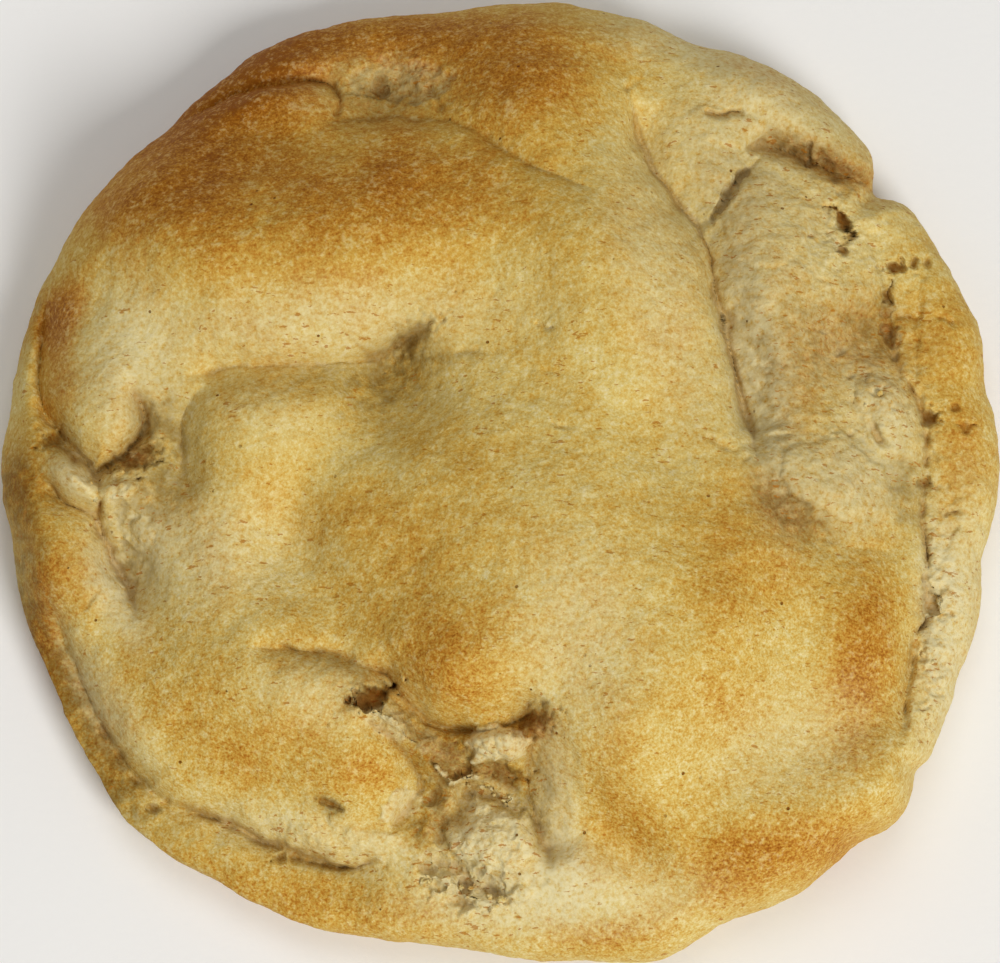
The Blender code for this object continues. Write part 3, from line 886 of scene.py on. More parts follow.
def front_tear() -> Region:
    """The tear under the dome's tip, with moist dough, blocks of crumb and a deep hole in it.

    Returns:
        The region.
    """
    return Region(
        swells=(
            Swell(-3.0, -28.0, 7.0, 5.0, 0.0, -3.0),
            Swell(-0.3, -24.9, 2.8, 1.8, 0.0, 1.2),
            Swell(-0.2, -23.3, 2.4, 1.1, 0.0, 1.6),
            Swell(-0.8, -33.4, 4.2, 3.0, -15.0, 1.2),
        ),
        folds=(
            Fold(
                ((4.4, -35.6), (2.9, -31.2), (-0.1, -29.2), (-4.6, -31.4), (-5.6, -35.4)),
                1.1, 2.4, 2.2, 1.8,
            ),
            Fold(((-6.5, -35.4), (-3.8, -36.2), (-1.6, -37.8), (0.4, -38.6)), 1.2, 1.8, 2.4, 2.0),
        ),
        cracks=(
            Crack(
                ((-15.2, -21.3), (-12.6, -20.8), (-10.3, -20.4), (-9.0, -21.0), (-8.0, -21.7), (-6.5, -22.8)),
                0.4, 0.45,
            ),
            Crack(((-6.0, -28.1), (-6.9, -30.5), (-8.2, -33.5)), 0.6, 0.5),
            Crack(((-2.4, -27.3), (-0.1, -28.2), (2.2, -28.4)), 0.5, 0.7),
            Crack(((-7.5, -35.0), (-5.5, -35.5), (-4.0, -36.0), (-2.0, -38.0), (-0.5, -38.5)), 0.35, 0.6),
            Crack(((2.3, -37.5), (3.5, -37.5), (4.3, -37.0)), 0.3, 0.4),
        ),
        pits=(
            Pit(-11.6, -20.2, 1.7, 0.75, 28.0, 1.5),
            Pit(2.9, -22.6, 1.9, 1.1, 25.0, 0.7),
            Pit(0.2, -27.4, 2.3, 0.5, -5.0, 0.7),
            Pit(-6.5, -36.3, 0.7, 0.4, 0.0, 0.6),
            Pit(-3.6, -39.6, 1.2, 0.5, -15.0, 0.6),
        ),
        clumps=(
            Clump(-0.2, -24.7, 2.9, 1.9, -3.0, 1.1, pale=0.85),
            Clump(-3.3, -27.9, 1.3, 0.9, 20.0, 0.9),
            Clump(-4.9, -27.3, 0.8, 0.3, -30.0, 0.6),
            Clump(-1.0, -28.7, 0.7, 0.4, 10.0, 0.5),
            Clump(0.6, -29.4, 0.8, 0.4, -30.0, 0.5),
            Clump(2.0, -24.4, 0.7, 0.4, 0.0, 0.5),
            Clump(-0.8, -33.4, 4.5, 3.5, -22.0, 1.0, pale=0.9),
            Clump(-8.9, -30.4, 2.2, 1.3, 25.0, 0.4, pale=0.6),
            Clump(-11.2, -33.9, 3.6, 1.5, -12.0, 0.35, pale=0.5),
            Clump(-10.2, -22.8, 2.6, 1.1, -35.0, 0.45, pale=0.6),
            Clump(-4.9, -37.4, 1.5, 0.8, -15.0, 0.6),
            Clump(-2.4, -38.4, 1.0, 0.6, 20.0, 0.6),
            Clump(-0.8, -39.5, 1.5, 0.8, -10.0, 0.6),
            Clump(-5.6, -38.7, 0.8, 0.5, 0.0, 0.5),
            Clump(-3.3, -40.6, 1.0, 0.5, 15.0, 0.5),
            Clump(1.6, -38.6, 1.3, 0.6, 10.0, 0.5),
        ),
        stains=(
            Stain(-11.9, -20.0, 2.4, 1.2, 25.0, 1.0, Bake.MOIST_AND_SHADE),
            # Painted shade in the fold under the dome's left end.
            Stain(-15.0, -16.9, 4.2, 1.0, -14.0, 0.6, Bake.MOIST_AND_SHADE),
            Stain(5.0, -30.0, 1.9, 7.0, 6.0, 0.7, Bake.PALE),
            Stain(-8.5, -22.3, 3.2, 1.2, -45.0, 0.5, Bake.MOIST_AND_SHADE),
            Stain(-5.0, -25.7, 2.8, 2.4, 0.0, 1.2, Bake.MOIST_AND_SHADE),
            Stain(-4.9, -25.9, 2.6, 2.4, 0.0, 0.22, Bake.BROWNED),
            Stain(3.2, -23.0, 2.2, 1.5, 30.0, 0.40, Bake.BROWNED),
            Stain(0.4, -27.6, 3.0, 1.0, -5.0, 0.25, Bake.BROWNED),
            Stain(-6.2, -31.0, 1.8, 4.0, -25.0, 0.15, Bake.BROWNED),
            Stain(-6.2, -31.0, 1.6, 4.0, -25.0, 0.8, Bake.MOIST_AND_SHADE),
            Stain(3.0, -22.6, 2.3, 1.5, 25.0, 1.0, Bake.MOIST_AND_SHADE),
            Stain(0.2, -27.3, 2.8, 0.9, -5.0, 1.0, Bake.MOIST_AND_SHADE),
            Stain(2.6, -30.2, 3.8, 0.8, -62.0, 0.8, Bake.MOIST_AND_SHADE),
            Stain(0.4, -38.6, 8.0, 3.8, 0.0, 0.85, Bake.PALE),
            Stain(5.6, -35.4, 2.2, 3.0, 0.0, 0.6, Bake.PALE),
            Stain(-2.4, -30.5, 5.2, 8.0, 0.0, 0.95, Bake.CRUMBLY),
            Stain(-10.0, -22.0, 5.5, 1.5, -32.0, 0.8, Bake.CRUMBLY),
            Stain(-2.5, -18.0, 5.0, 5.2, 0.0, -1.0, Bake.CRUMBLY),
            Stain(-3.0, -38.0, 5.5, 2.0, -20.0, 0.6, Bake.CRUMBLY),
        ),
    )


def all_regions() -> tuple[Region, ...]:
    """Every part of the top, from the back to the front.

    Returns:
        The regions.
    """
    return (
        back_left_shoulder(),
        back_rim(),
        long_ridge(),
        torn_right(),
        right_rim(),
        middle_dome(),
        left_knob(),
        front_left_lobe(),
        front_tear(),
        front_right_lobe(),
    )


@dataclass(frozen=True)
class Wave:
    """A wave of the rim: the direction it lies in, its half width in degrees and how far it pushes out."""

    direction: float
    half: float
    push: float

    def out(self, angle: Array) -> Array:
        """How far it pushes the rim out at some angles in degrees: push * exp(-(away / half)^2)."""
        away = (angle - self.direction + 180.0) % 360.0 - 180.0
        return self.push * np.exp(-((away / self.half) ** 2))


def rim_waves() -> tuple[Wave, ...]:
    """The dents, notches and corners of the rim, anticlockwise from the right.

    Returns:
        The waves.
    """
    return (
        Wave(12.5, 4.0, -0.7),
        Wave(18.0, 5.0, 0.6),
        Wave(38.6, 2.2, -2.2),
        Wave(52.0, 9.0, 0.9),
        Wave(62.0, 5.0, 0.5),
        Wave(66.0, 5.0, -0.7),
        Wave(97.0, 8.0, -0.8),
        Wave(116.0, 7.0, 0.8),
        Wave(132.0, 5.0, -0.45),
        Wave(172.5, 5.0, -0.55),
        Wave(187.0, 4.0, -0.4),
        Wave(198.0, 12.0, -0.55),
        Wave(225.0, 8.0, 1.2),
        Wave(252.0, 4.0, -0.4),
        Wave(263.5, 8.0, -1.4),
        Wave(288.0, 7.0, 1.7),
        Wave(306.0, 10.0, 1.9),
        Wave(319.5, 5.0, 2.2),
        Wave(324.0, 1.6, -0.6),
        Wave(328.0, 6.0, 1.2),
        Wave(351.0, 5.0, -1.0),
    )


class Graph:
    """A material's shader nodes, joined as they are added."""

    def __init__(self, name: str) -> None:
        """Starts a material with its Principled shader.

        Args:
            name: The material's name.
        """
        self.material = bpy.data.materials.new(name)
        self.material.use_nodes = True
        self.tree = self.material.node_tree
        self.shader = self.tree.nodes["Principled BSDF"]
        self.place = self.add("ShaderNodeTexCoord").outputs["Object"]

    def add(self, kind: str, settings: dict | None = None, inputs: dict | None = None) -> bpy.types.Node:
        """Adds a node.

        Args:
            kind: The node's type.
            settings: Values of its properties.
            inputs: Its inputs by name or number: a socket is linked, anything else is set.

        Returns:
            The new node.
        """
        node = self.tree.nodes.new(kind)
        for name, value in (settings or {}).items():
            setattr(node, name, value)
        self.feed(node, inputs or {})
        return node

    def feed(self, node: bpy.types.Node, inputs: dict) -> None:
        """Links or sets a node's inputs.

        Args:
            node: The node.
            inputs: Its inputs by name or number.
        """
        for name, value in inputs.items():
            if isinstance(value, bpy.types.NodeSocket):
                self.tree.links.new(value, node.inputs[name])
            else:
                node.inputs[name].default_value = value

    def math(self, operation: str, first: Socket | float, second: Socket | float = 0.0) -> Socket:
        """A sum, product or other operation on two numbers."""
        return self.add("ShaderNodeMath", {"operation": operation}, {0: first, 1: second}).outputs[0]

    def step(self, value: Socket, low: float | Socket, high: float | Socket) -> Socket:
        """0 where the value is at low, 1 where it is at high, and an even S between."""
        inputs = {"Value": value, "From Min": low, "From Max": high}
        return self.add("ShaderNodeMapRange", {"interpolation_type": "SMOOTHSTEP"}, inputs).outputs["Result"]

    def mix(
        self, share: Socket | float, first: Socket | Colour, second: Socket | Colour, blend: str = "MIX"
    ) -> Socket:
        """Mixes two colours by a share."""
        settings = {"data_type": "RGBA", "blend_type": blend}
        return self.add("ShaderNodeMix", settings, {0: share, 6: first, 7: second}).outputs[2]

    def noise(
        self,
        size: float,
        detail: float = 2.0,
        roughness: float = 0.5,
        squash: float = 1.0,
        turn: float = 0.0,
    ) -> Socket:
        """Noise in space, 0 to 1 and mostly near a half.

        Args:
            size: Size of its features in millimetres.
            detail: Finer layers, each half the size of the last.
            roughness: Strength of each finer layer, as a share of the last.
            squash: How many times narrower than long the features are.
            turn: The direction they run in, in degrees from the right.

        Returns:
            The noise.
        """
        place = self.place
        if squash != 1.0:
            lie = {"Vector": place, "Rotation": (0.0, 0.0, -math.radians(turn)), "Scale": (1.0, squash, 1.0)}
            place = self.add("ShaderNodeMapping", None, lie).outputs["Vector"]
        inputs = {"Vector": place, "Scale": 1.0 / (size * MM), "Detail": detail, "Roughness": roughness}
        return self.add("ShaderNodeTexNoise", None, inputs).outputs["Fac"]

    def specks(self, size: float, radius: float) -> Socket:
        """Round specks, one to each cell, with soft edges.

        Args:
            size: Size of the cells in millimetres.
            radius: Radius of a speck, as a share of a cell.

        Returns:
            The share of speck at each point.
        """
        inputs = {"Vector": self.place, "Scale": 1.0 / (size * MM), "Randomness": 1.0}
        gap = self.add("ShaderNodeTexVoronoi", None, inputs).outputs["Distance"]
        return self.math("SUBTRACT", 1.0, self.step(gap, 0.6 * radius, radius))

    def attribute(self, name: str) -> Socket:
        """The value of an attribute of the mesh."""
        return self.add("ShaderNodeAttribute", {"attribute_name": name}).outputs["Fac"]

    def scaled(self, value: Socket, factor: Socket | float) -> Socket:
        """A value times a factor."""
        return self.math("MULTIPLY", value, factor)

    def total(self, first: Socket | float, *others: Socket | float) -> Socket:
        """The sum of some values.

        Args:
            first: The first value.
            *others: The values that are added to it, one after another.

        Returns:
            The sum.
        """
        for other in others:
            first = self.math("ADD", first, other)
        return first


@dataclass(frozen=True)
class CrustFinish:
    """The baked crust: a dry, finely crinkled skin, from pale dough to dark brown.

    Attributes:
        toast: The crust's colours from the palest to the brownest, each with its place on that scale.
        cream: The light flecks on the tops of the fine crinkles: pale sugar, and partly painted glints.
        speck: The brown dots and dashes between them.
        crumb: Pale torn crumb and dry flour.
        moist_and_shade: Tint of moist, half see-through dough, which darkens what is under it. The same tint
            paints shade on slopes turned from the light, under the lip and in creases.
        dark: Tint of painted shade at the bottom of cracks, creases, pits and pinholes, and in hollows.
        grain: Size of the finest grain, in millimetres.
        crinkle: Size of the fine crinkles.
        patch: Size of the small patches of colour.
        mottle: Size of the soft patches of colour.
        cluster: Size of the clusters that the dashes lie in.
        dash: Size of the dashes.
        slender: How many times longer than wide a dash is.
        runs: The two directions that the dashes run in, in degrees from the right.
        pinhole: How far apart the pinholes lie.
    """

    toast: tuple[tuple[float, Colour], ...] = (
        (0.0, colour(229, 214, 160)),
        (0.25, colour(219, 195, 116)),
        (0.5, colour(207, 165, 72)),
        (0.75, colour(187, 127, 40)),
        (1.0, colour(148, 84, 12)),
    )
    cream: Colour = colour(243, 227, 178)
    speck: Colour = colour(176, 112, 22)
    crumb: Colour = colour(229, 215, 165)
    moist_and_shade: Colour = colour(182, 171, 151)
    dark: Colour = colour(172, 130, 72)
    grain: float = 0.22
    crinkle: float = 0.5
    patch: float = 1.3
    mottle: float = 4.0
    cluster: float = 3.2
    dash: float = 1.3
    slender: float = 2.8
    runs: tuple[float, float] = (8.0, -42.0)
    pinhole: float = 2.4

    def toasted(self, graph: Graph, *noises: tuple[Socket, float]) -> Socket:
        """The crust's colour by how browned it is, made uneven by noises.

        Args:
            graph: The material's nodes.
            *noises: Noises and how far each shifts the browning.

        Returns:
            The colour.
        """
        shifts = (graph.scaled(graph.math("SUBTRACT", noise, 0.5), reach) for noise, reach in noises)
        amount = graph.total(graph.attribute("browned"), *shifts)
        ramp = graph.add("ShaderNodeValToRGB", None, {"Fac": amount})
        for _ in self.toast[2:]:
            ramp.color_ramp.elements.new(0.5)
        for element, (position, shade) in zip(ramp.color_ramp.elements, self.toast):
            element.position = position
            element.color = shade
        return ramp.outputs["Color"]

    def dashes(self, graph: Graph) -> Socket:
        """Short brown dashes and dots in the crust, in loose clusters, 1 inside them.

        Formula: they lie where the lower of two stretched noises is under an edge, which rises from 0.27
        to 0.335 inside the clusters and where the dough is torn.

        Args:
            graph: The material's nodes.

        Returns:
            The share of dash at each point.
        """
        crumbly = graph.scaled(graph.attribute("crumbly"), 0.25)
        level = graph.step(graph.total(graph.noise(self.cluster, 2.0, 0.6), crumbly), 0.40, 0.66)
        edge = graph.total(graph.scaled(level, 0.065), 0.27)
        runs = (graph.noise(self.dash, 3.0, 0.6, self.slender, turn) for turn in self.runs)
        lowest = graph.math("MINIMUM", *runs)
        return graph.step(lowest, graph.total(edge, 0.03), edge)

    def material(self, name: str = "baked_crust") -> bpy.types.Material:
        """Builds the crust's material.

        Formula: the mesh's browned attribute, shifted by four sizes of noise, picks the colour. Light
        flecks, partly painted glints, pale crumb, moist dough that also paints shade, dashes and painted
        shade in the hollows and pinholes are laid over it in turn. The same noises, less the dashes and
        pinholes, plus coarse grain on torn dough, raise the bump.

        Args:
            name: The material's name.

        Returns:
            The material.
        """
        graph = Graph(name)
        grain = graph.noise(self.grain, 2.0, 0.6)
        crinkle = graph.noise(self.crinkle, 4.0, 0.62)
        patch = graph.noise(self.patch, 3.0, 0.62)
        mottle = graph.noise(self.mottle, 2.0, 0.6)
        # Light flecks on the crinkle tops: pale sugar, and partly painted glints.
        flecks_and_glints = graph.step(graph.total(crinkle, graph.scaled(patch, 0.5)), 0.76, 0.98)
        dashes = self.dashes(graph)
        holes = graph.scaled(graph.specks(self.pinhole, 0.07), graph.step(graph.noise(6.0), 0.5, 0.58))
        crisp = graph.total(graph.scaled(graph.attribute("floury"), 0.5), 1.0)
        grit = graph.total(graph.scaled(graph.math("SUBTRACT", grain, 0.5), crisp), 0.5)

        shade = self.toasted(graph, (crinkle, -0.75), (patch, -0.36), (mottle, 0.18), (grit, 0.75))
        # Mixes in the cream flecks, which are partly painted glints.
        shade = graph.mix(graph.scaled(flecks_and_glints, 0.22), shade, self.cream)
        pale = graph.scaled(graph.attribute("pale"), graph.step(crinkle, 0.2, 0.65))
        shade = graph.mix(pale, shade, self.crumb)
        # The moist tint darkens moist dough and also paints shade where its stains lie.
        moist_and_shade = graph.scaled(graph.attribute("moist_and_shade"), graph.step(patch, 0.15, 0.6))
        shade = graph.mix(moist_and_shade, shade, self.moist_and_shade, "MULTIPLY")
        shade = graph.mix(graph.scaled(dashes, 0.75), shade, self.speck)
        # Painted shade in the pinholes and in the hollows, cracks and pits.
        hollow_shade = graph.math("MAXIMUM", holes, graph.attribute("hollow_shade"))
        shade = graph.mix(hollow_shade, shade, self.dark, "MULTIPLY")

        rises = ((crinkle, 0.10), (grit, 0.04), (patch, 0.06), (dashes, -0.01), (holes, -0.15))
        crumbly = graph.scaled(graph.attribute("crumbly"), 0.25)
        height = graph.total(*(graph.scaled(part, rise) for part, rise in rises))
        height = graph.total(height, graph.scaled(graph.noise(0.6, 3.0, 0.65), crumbly))
        bump = graph.add("ShaderNodeBump", None, {"Height": height, "Distance": MM, "Strength": 1.0})
        graph.feed(
            graph.shader,
            {
                "Base Color": shade,
                "Normal": bump.outputs["Normal"],
                "Roughness": graph.total(graph.scaled(crinkle, 0.2), 0.5),
                "IOR": 1.45,
                "Specular IOR Level": 0.08,
            },
        )
        return graph.material


@dataclass(frozen=True)
class TableFinish:
    """The pale, matt table that the cookie rests on.

    Attributes:
        paint: Its lighter colour.
        shade: Its darker colour.
        patch: Size of the soft patches of the two.
    """

    paint: Colour = colour(250, 249, 247)
    shade: Colour = colour(244, 243, 240)
    patch: float = 60.0

    def material(self) -> bpy.types.Material:
        """Builds the table's material: two near whites in soft patches, with a faint tooth.

        Returns:
            The material.
        """
        graph = Graph("pale_table")
        cloud = graph.noise(self.patch, 2.0, 0.5)
        bump = graph.add("ShaderNodeBump", None, {"Height": graph.noise(0.8), "Distance": 0.02 * MM})
        paint = graph.mix(cloud, self.shade, self.paint)
        graph.feed(graph.shader, {"Base Color": paint, "Normal": bump.outputs["Normal"], "Roughness": 0.8})
        return graph.material


def put_mesh(name: str, points: Array, faces: list[Array], material: bpy.types.Material) -> bpy.types.Object:
    """Makes an object of a mesh at the origin.

    Args:
        name: The object's name.
        points: Its points in millimetres, one row each.
        faces: Groups of faces, each an array of corners, one row to a face.
        material: Its material.

    Returns:
        The object, shaded smooth.
    """
    data = bpy.data.meshes.new(name)
    data.from_pydata((points * MM).tolist(), [], [row for group in faces for row in group.tolist()])
    data.materials.append(material)
    data.shade_smooth()
    piece = bpy.data.objects.new(name, data)
    bpy.context.scene.collection.objects.link(piece)
    return piece


def put_crust(piece: bpy.types.Object, shades: dict[str, Array]) -> bpy.types.Object:
    """Gives a piece the attributes that the crust's finish reads, and lets it stand for the cookie.

    Args:
        piece: The piece.
        shades: Values of each attribute at its points.

    Returns:
        The piece.
    """
    for name, values in shades.items():
        piece.data.attributes.new(name, "FLOAT", "POINT").data.foreach_set("value", values)
    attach(piece, "root")
    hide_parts("cookie")
    return piece


def point_normals(points: Array, quads: Array) -> Array:
    """The normals at the points of a mesh.

    Formula: each is the sum of the crossed diagonals of the quads that meet there, brought to length 1.

    Args:
        points: The points, one row each.
        quads: The quads, one row each.

    Returns:
        The normals, one row each, straight down where no quad meets a point.
    """
    corners = points[quads]
    crossed = np.cross(corners[:, 2] - corners[:, 0], corners[:, 3] - corners[:, 1])
    sums = [np.bincount(quads.ravel(), np.repeat(axis, 4), len(points)) for axis in crossed.T]
    total = np.column_stack(sums)
    length = np.linalg.norm(total, axis=1, keepdims=True)
    return np.where(length > 0.0, total / np.maximum(length, 1e-12), (0.0, 0.0, -1.0))


def bent_square(a: Array, b: Array) -> tuple[Array, Array]:
    """Bends a square grid into a disc of radius 1.

    Formula: for a point (a, b) of the square, with a the larger, the ring is a and the angle is b / a of
    an eighth turn, and the other way round where b is larger.

    Args:
        a: First coordinates, -1 to 1.
        b: Second coordinates.

    Returns:
        The places in the disc.
    """
    wide = np.abs(a) >= np.abs(b)
    ring = np.where(wide, a, b)
    safe = np.where(ring == 0.0, 1.0, ring)
    angle = np.where(wide, b / safe * math.pi / 4, math.pi / 2 - a / safe * math.pi / 4)
    return ring * np.cos(angle), ring * np.sin(angle)


def bared(torn: Array) -> Array:
    """How bare the dough lies, from 0 under whole skin to 1 where it has torn away."""
    return ease((torn - BARE) / BARE_OVER)


def loops_between(upper: Array, lower: Array) -> Array:
    """The quads between two rings of as many points.

    Args:
        upper: The upper ring's points, anticlockwise as seen from above.
        lower: The lower ring's points.

    Returns:
        The quads, facing outwards.
    """
    return np.column_stack([upper, lower, np.roll(lower, -1), np.roll(upper, -1)])


@dataclass(frozen=True)
class Cookie:
    """The cookie: a low bun with swells, folds, cracks and pits, on a flat base.

    Attributes:
        radius: Radius of the plain round.
        equator: Height at which it is widest.
        ledge: Height of the low rim outside the lumps.
        crown: Height of the plain bun under the swells.
        ledge_start: Share of the radius where the rim ends.
        crown_start: Share of the radius where the crown begins.
        shoulder: How far in from the widest line the top starts to roll down to it.
        base_inset: How far in from the widest line the flat base ends.
        top_rings: Rings of points from the middle of the top to its widest line.
        side_rings: Rings below the widest line.
        base_rings: Rings of the base.
        blend: How sharply the deeper of two folds wins where they meet.
        strips: Names of the strips that the top is cut into, from front to back.
        regions: The parts of the top.
        waves: The waves of the rim.
        finish: The crust's finish.
    """

    radius: float = 45.0
    equator: float = 4.4
    ledge: float = 8.4
    crown: float = 15.4
    ledge_start: float = 0.93
    crown_start: float = 0.50
    shoulder: float = 3.4
    base_inset: float = 3.6
    top_rings: int = 270
    side_rings: int = 8
    base_rings: int = 3
    blend: float = 3.0
    strips: tuple[str, ...] = ("crust_front", "crust_middle", "crust_back")
    regions: tuple[Region, ...] = field(default_factory=all_regions)
    waves: tuple[Wave, ...] = field(default_factory=rim_waves)
    finish: CrustFinish = CrustFinish()

    def side(self) -> int:
        """How many points lie along a side of the top's square grid."""
        return 2 * self.top_rings + 1

    def grid(self) -> Array:
        """The numbers of the top's points, as the square grid they are laid on."""
        return np.arange(self.side() ** 2).reshape(self.side(), self.side())

    def rim(self, angle: Array) -> Array:
        """The rim's radius: the round, its waves and 0.2 mm of noise.

        Args:
            angle: Angles in radians.

        Returns:
            The radius at each angle.
        """
        around = np.column_stack([np.cos(angle), np.sin(angle), np.zeros(len(angle))]) * self.radius
        uneven = 0.2 * Noise(9.0, 11, 2).at(around)
        return self.radius + uneven + sum(wave.out(np.degrees(angle)) for wave in self.waves)

    def wandered(self, x: Array, y: Array) -> tuple[Array, Array]:
        """Places moved by noise, so that tears run ragged.

        Formula: each moves by noise at 2.8 mm, times 0.22 mm and up to 0.5 mm more on crumbly dough.

        Args:
            x: Places to the right of the cookie's middle.
            y: Places to its back.

        Returns:
            The moved places.
        """
        reach = 0.22 + 0.5 * np.clip(self.baked(Bake.CRUMBLY, x, y), 0.0, 1.0)
        return x + reach * Noise(2.8, 21, 4).over(x, y), y + reach * Noise(2.8, 22, 4).over(x, y)

    def relief(self, x: Array, y: Array) -> tuple[Array, Array, Array]:
        """The height of the top, the depth that its cracks and pits take of it, and its pale clumps.

        Formula: the ledge, rising by an even S to the crown, plus every swell, less the blend of the
        folds' depths d, which is the root of order n of the sum of d^n, less the deepest of the cracks
        and pits, plus the highest of the clumps, each of which rises by the root of its share. Within the
        shoulder's width of the rim, what stands above the widest line is multiplied by sqrt(1 - t^2),
        where t is 0 at the shoulder and 1 at the rim. Noise at 0.7 to 2.2 mm makes each of them ragged.

        Args:
            x: Places to the right of the cookie's middle.
            y: Places to its back.

        Returns:
            The height, the depth and how pale a clump lies there, 0 to 1, at each place.
        """
        share = np.hypot(x, y) / self.radius
        bun = ease((self.ledge_start - share) / (self.ledge_start - self.crown_start))
        height = self.ledge + (self.crown - self.ledge) * bun
        torn_x, torn_y = self.wandered(x, y)
        uneven, ragged = 1.5 * Noise(2.2, 23, 2).over(x, y), Noise(1.6, 25, 2).over(x, y)
        fine = 1.3 * Noise(0.7, 26, 2).over(x, y)
        folded, cut, raised, pale = np.zeros((4, len(x)))
        for region in self.regions:
            height += sum(swell.height(x, y) for swell in region.swells)
            folded += sum(fold.sunk(torn_x, torn_y, uneven) ** self.blend for fold in region.folds)
            cracks = [crack.sunk(torn_x, torn_y, uneven) for crack in region.clefts()]
            pits = [pit.sunk(torn_x, torn_y, fine) for pit in region.pits]
            cut = np.max([cut, *cracks, *pits], axis=0)
            for clump in region.clumps:
                inside = clump.share(torn_x, torn_y, ragged)
                raised = np.maximum(raised, clump.rise * np.sqrt(inside))
                pale = np.maximum(pale, clump.pale * ease(3.0 * inside))
        edge = self.rim(np.arctan2(y, x)) - self.shoulder
        t = np.clip((np.hypot(x, y) - edge) / self.shoulder, 0.0, 1.0)
        above = np.maximum(height - folded ** (1.0 / self.blend) - cut + raised - self.equator, 0.0)
        return self.equator + above * np.sqrt(1.0 - t**2), cut, pale

    def height(self, x: Array, y: Array) -> Array:
        """The height of the top at some places."""
        return self.relief(x, y)[0]

    def stand(self, x: Array, y: Array, height: Array) -> Array:
        """Turns places as seen, with their heights, into points in space.

        Formula: with h the height above the widest line, d the camera's distance and e its elevation, the
        depth is front = (y (1 - h sin e / d) - h / tan e) / (1 - y cos e / d), and the point lies
        s = front cos e - h sin e further off than the middle of the view, so x grows by 1 + s / d.

        Args:
            x: Places to the right of the cookie's middle.
            y: Places to its back.
            height: Their heights.

        Returns:
            The points, one row each.
        """
        up = math.radians(VIEW_UP)
        above = height - self.equator
        depth = y * (1.0 - above * math.sin(up) / VIEW_DISTANCE) - above / math.tan(up)
        depth = depth / (1.0 - y * math.cos(up) / VIEW_DISTANCE)
        further = depth * math.cos(up) - above * math.sin(up)
        return np.column_stack([x * (1.0 + further / VIEW_DISTANCE), depth - VIEW_FRONT, height])

    def top_places(self) -> tuple[Array, Array]:
        """Places over the top, as a square grid bent into a disc.

        Formula: the rings lie evenly up to the shoulder, and over it at the sine of even angles, so that
        they stay even down the rolled edge.

        Returns:
            The places, row by row.
        """
        line = np.linspace(-1.0, 1.0, self.side())
        x, y = bent_square(*(grid.ravel() for grid in np.meshgrid(line, line)))
        angle = np.arctan2(y, x)
        flat, curve = self.rim(angle) - self.shoulder, 1.4 * self.shoulder
        way = np.hypot(x, y) * (flat + curve)
        rolled = flat + self.shoulder * np.sin(np.clip((way - flat) / curve, 0.0, 1.0) * math.pi / 2)
        reach = np.where(way < flat, way, rolled)
        return reach * np.cos(angle), reach * np.sin(angle)

    def rim_ring(self) -> Array:
        """The numbers of the top's outermost points, anticlockwise."""
        grid = self.grid()
        return np.concatenate([grid[0, :-1], grid[:-1, -1], grid[-1, :0:-1], grid[:0:-1, 0]])

    def lower_side(self, widest: Array, step: float) -> Array:
        """A ring of the side, below the widest line.

        Formula: a quarter ellipse, from the widest line at step 0 in to the base's edge at step 1.

        Args:
            widest: The points of the widest line.
            step: Where the ring lies.

        Returns:
            The ring's points.
        """
        turn = step * math.pi / 2
        inset = self.base_inset * (1.0 - math.cos(turn)) / np.hypot(widest[:, 0], widest[:, 1])
        height = np.full(len(widest), self.equator * (1.0 - math.sin(turn)))
        return np.column_stack([widest[:, :2] * (1.0 - inset)[:, None], height])

    def shell(self) -> tuple[Array, Array, Array, Array, Array]:
        """The skin: the top, the rings of the side, the rings of the base and its middle point.

        Formula: the base's rings are its edge, shrunk by even steps towards the middle.

        Returns:
            The points, the quads, row by row of the top and then ring by ring, the ring of points round
            the middle one, the place of each point as seen, and how far down the side each lies, from 0
            on the top to 1 at the base's edge and 2 at its middle.
        """
        x, y = self.top_places()
        grid = self.grid()
        corners = (grid[:-1, :-1], grid[:-1, 1:], grid[1:, 1:], grid[1:, :-1])
        quads = [np.stack(corners, axis=-1).reshape(-1, 4)]
        points, places = [self.stand(x, y, self.height(x, y))], [np.column_stack([x, y])]
        ring, count = self.rim_ring(), len(x)
        down, rim_place, widest = [np.zeros(count)], places[0][ring], points[0][ring]
        base_edge = self.lower_side(widest, 1.0)
        steps = [*np.linspace(0.0, 1.0, self.side_rings + 1)[1:]]
        steps += [*np.linspace(1.0, 2.0, self.base_rings + 2)[1:-1]]
        for step in steps:
            shrunk = (2.0 - step, 2.0 - step, 1.0)
            points.append(self.lower_side(widest, step) if step <= 1.0 else base_edge * shrunk)
            places.append(rim_place)
            down.append(np.full(len(ring), step))
            fresh = np.arange(count, count + len(ring))
            quads.append(loops_between(ring, fresh))
            ring, count = fresh, count + len(ring)
        points.append(np.zeros((1, 3)))
        places.append(np.zeros((1, 2)))
        down.append(np.full(1, 2.0))
        return np.vstack(points), np.vstack(quads), ring, np.vstack(places), np.concatenate(down)

    def baked(self, bake: Bake, x: Array, y: Array) -> Array:
        """How strongly the top has baked in one way at some places, with the moist stains also painting
        shade: the sum of such stains.
        """
        stains = (stain for region in self.regions for stain in region.stains)
        return sum(stain.cover(x, y) for stain in stains if stain.bake is bake)

    def torn(self, x: Array, y: Array) -> Array:
        """How far the dough is torn open.

        Formula: how crumbly it is, plus 0.22 of noise at 1.3 mm where it is crumbly at all.

        Args:
            x: Places to the right of the cookie's middle.
            y: Places to its back.

        Returns:
            The share of each place. Above about a half the dough lies bare.
        """
        ragged_x, ragged_y = self.wandered(x, y)
        crumbly = self.baked(Bake.CRUMBLY, ragged_x, ragged_y)
        return crumbly + 0.22 * Noise(1.3, 24, 2).over(x, y) * ease(crumbly / 0.3)

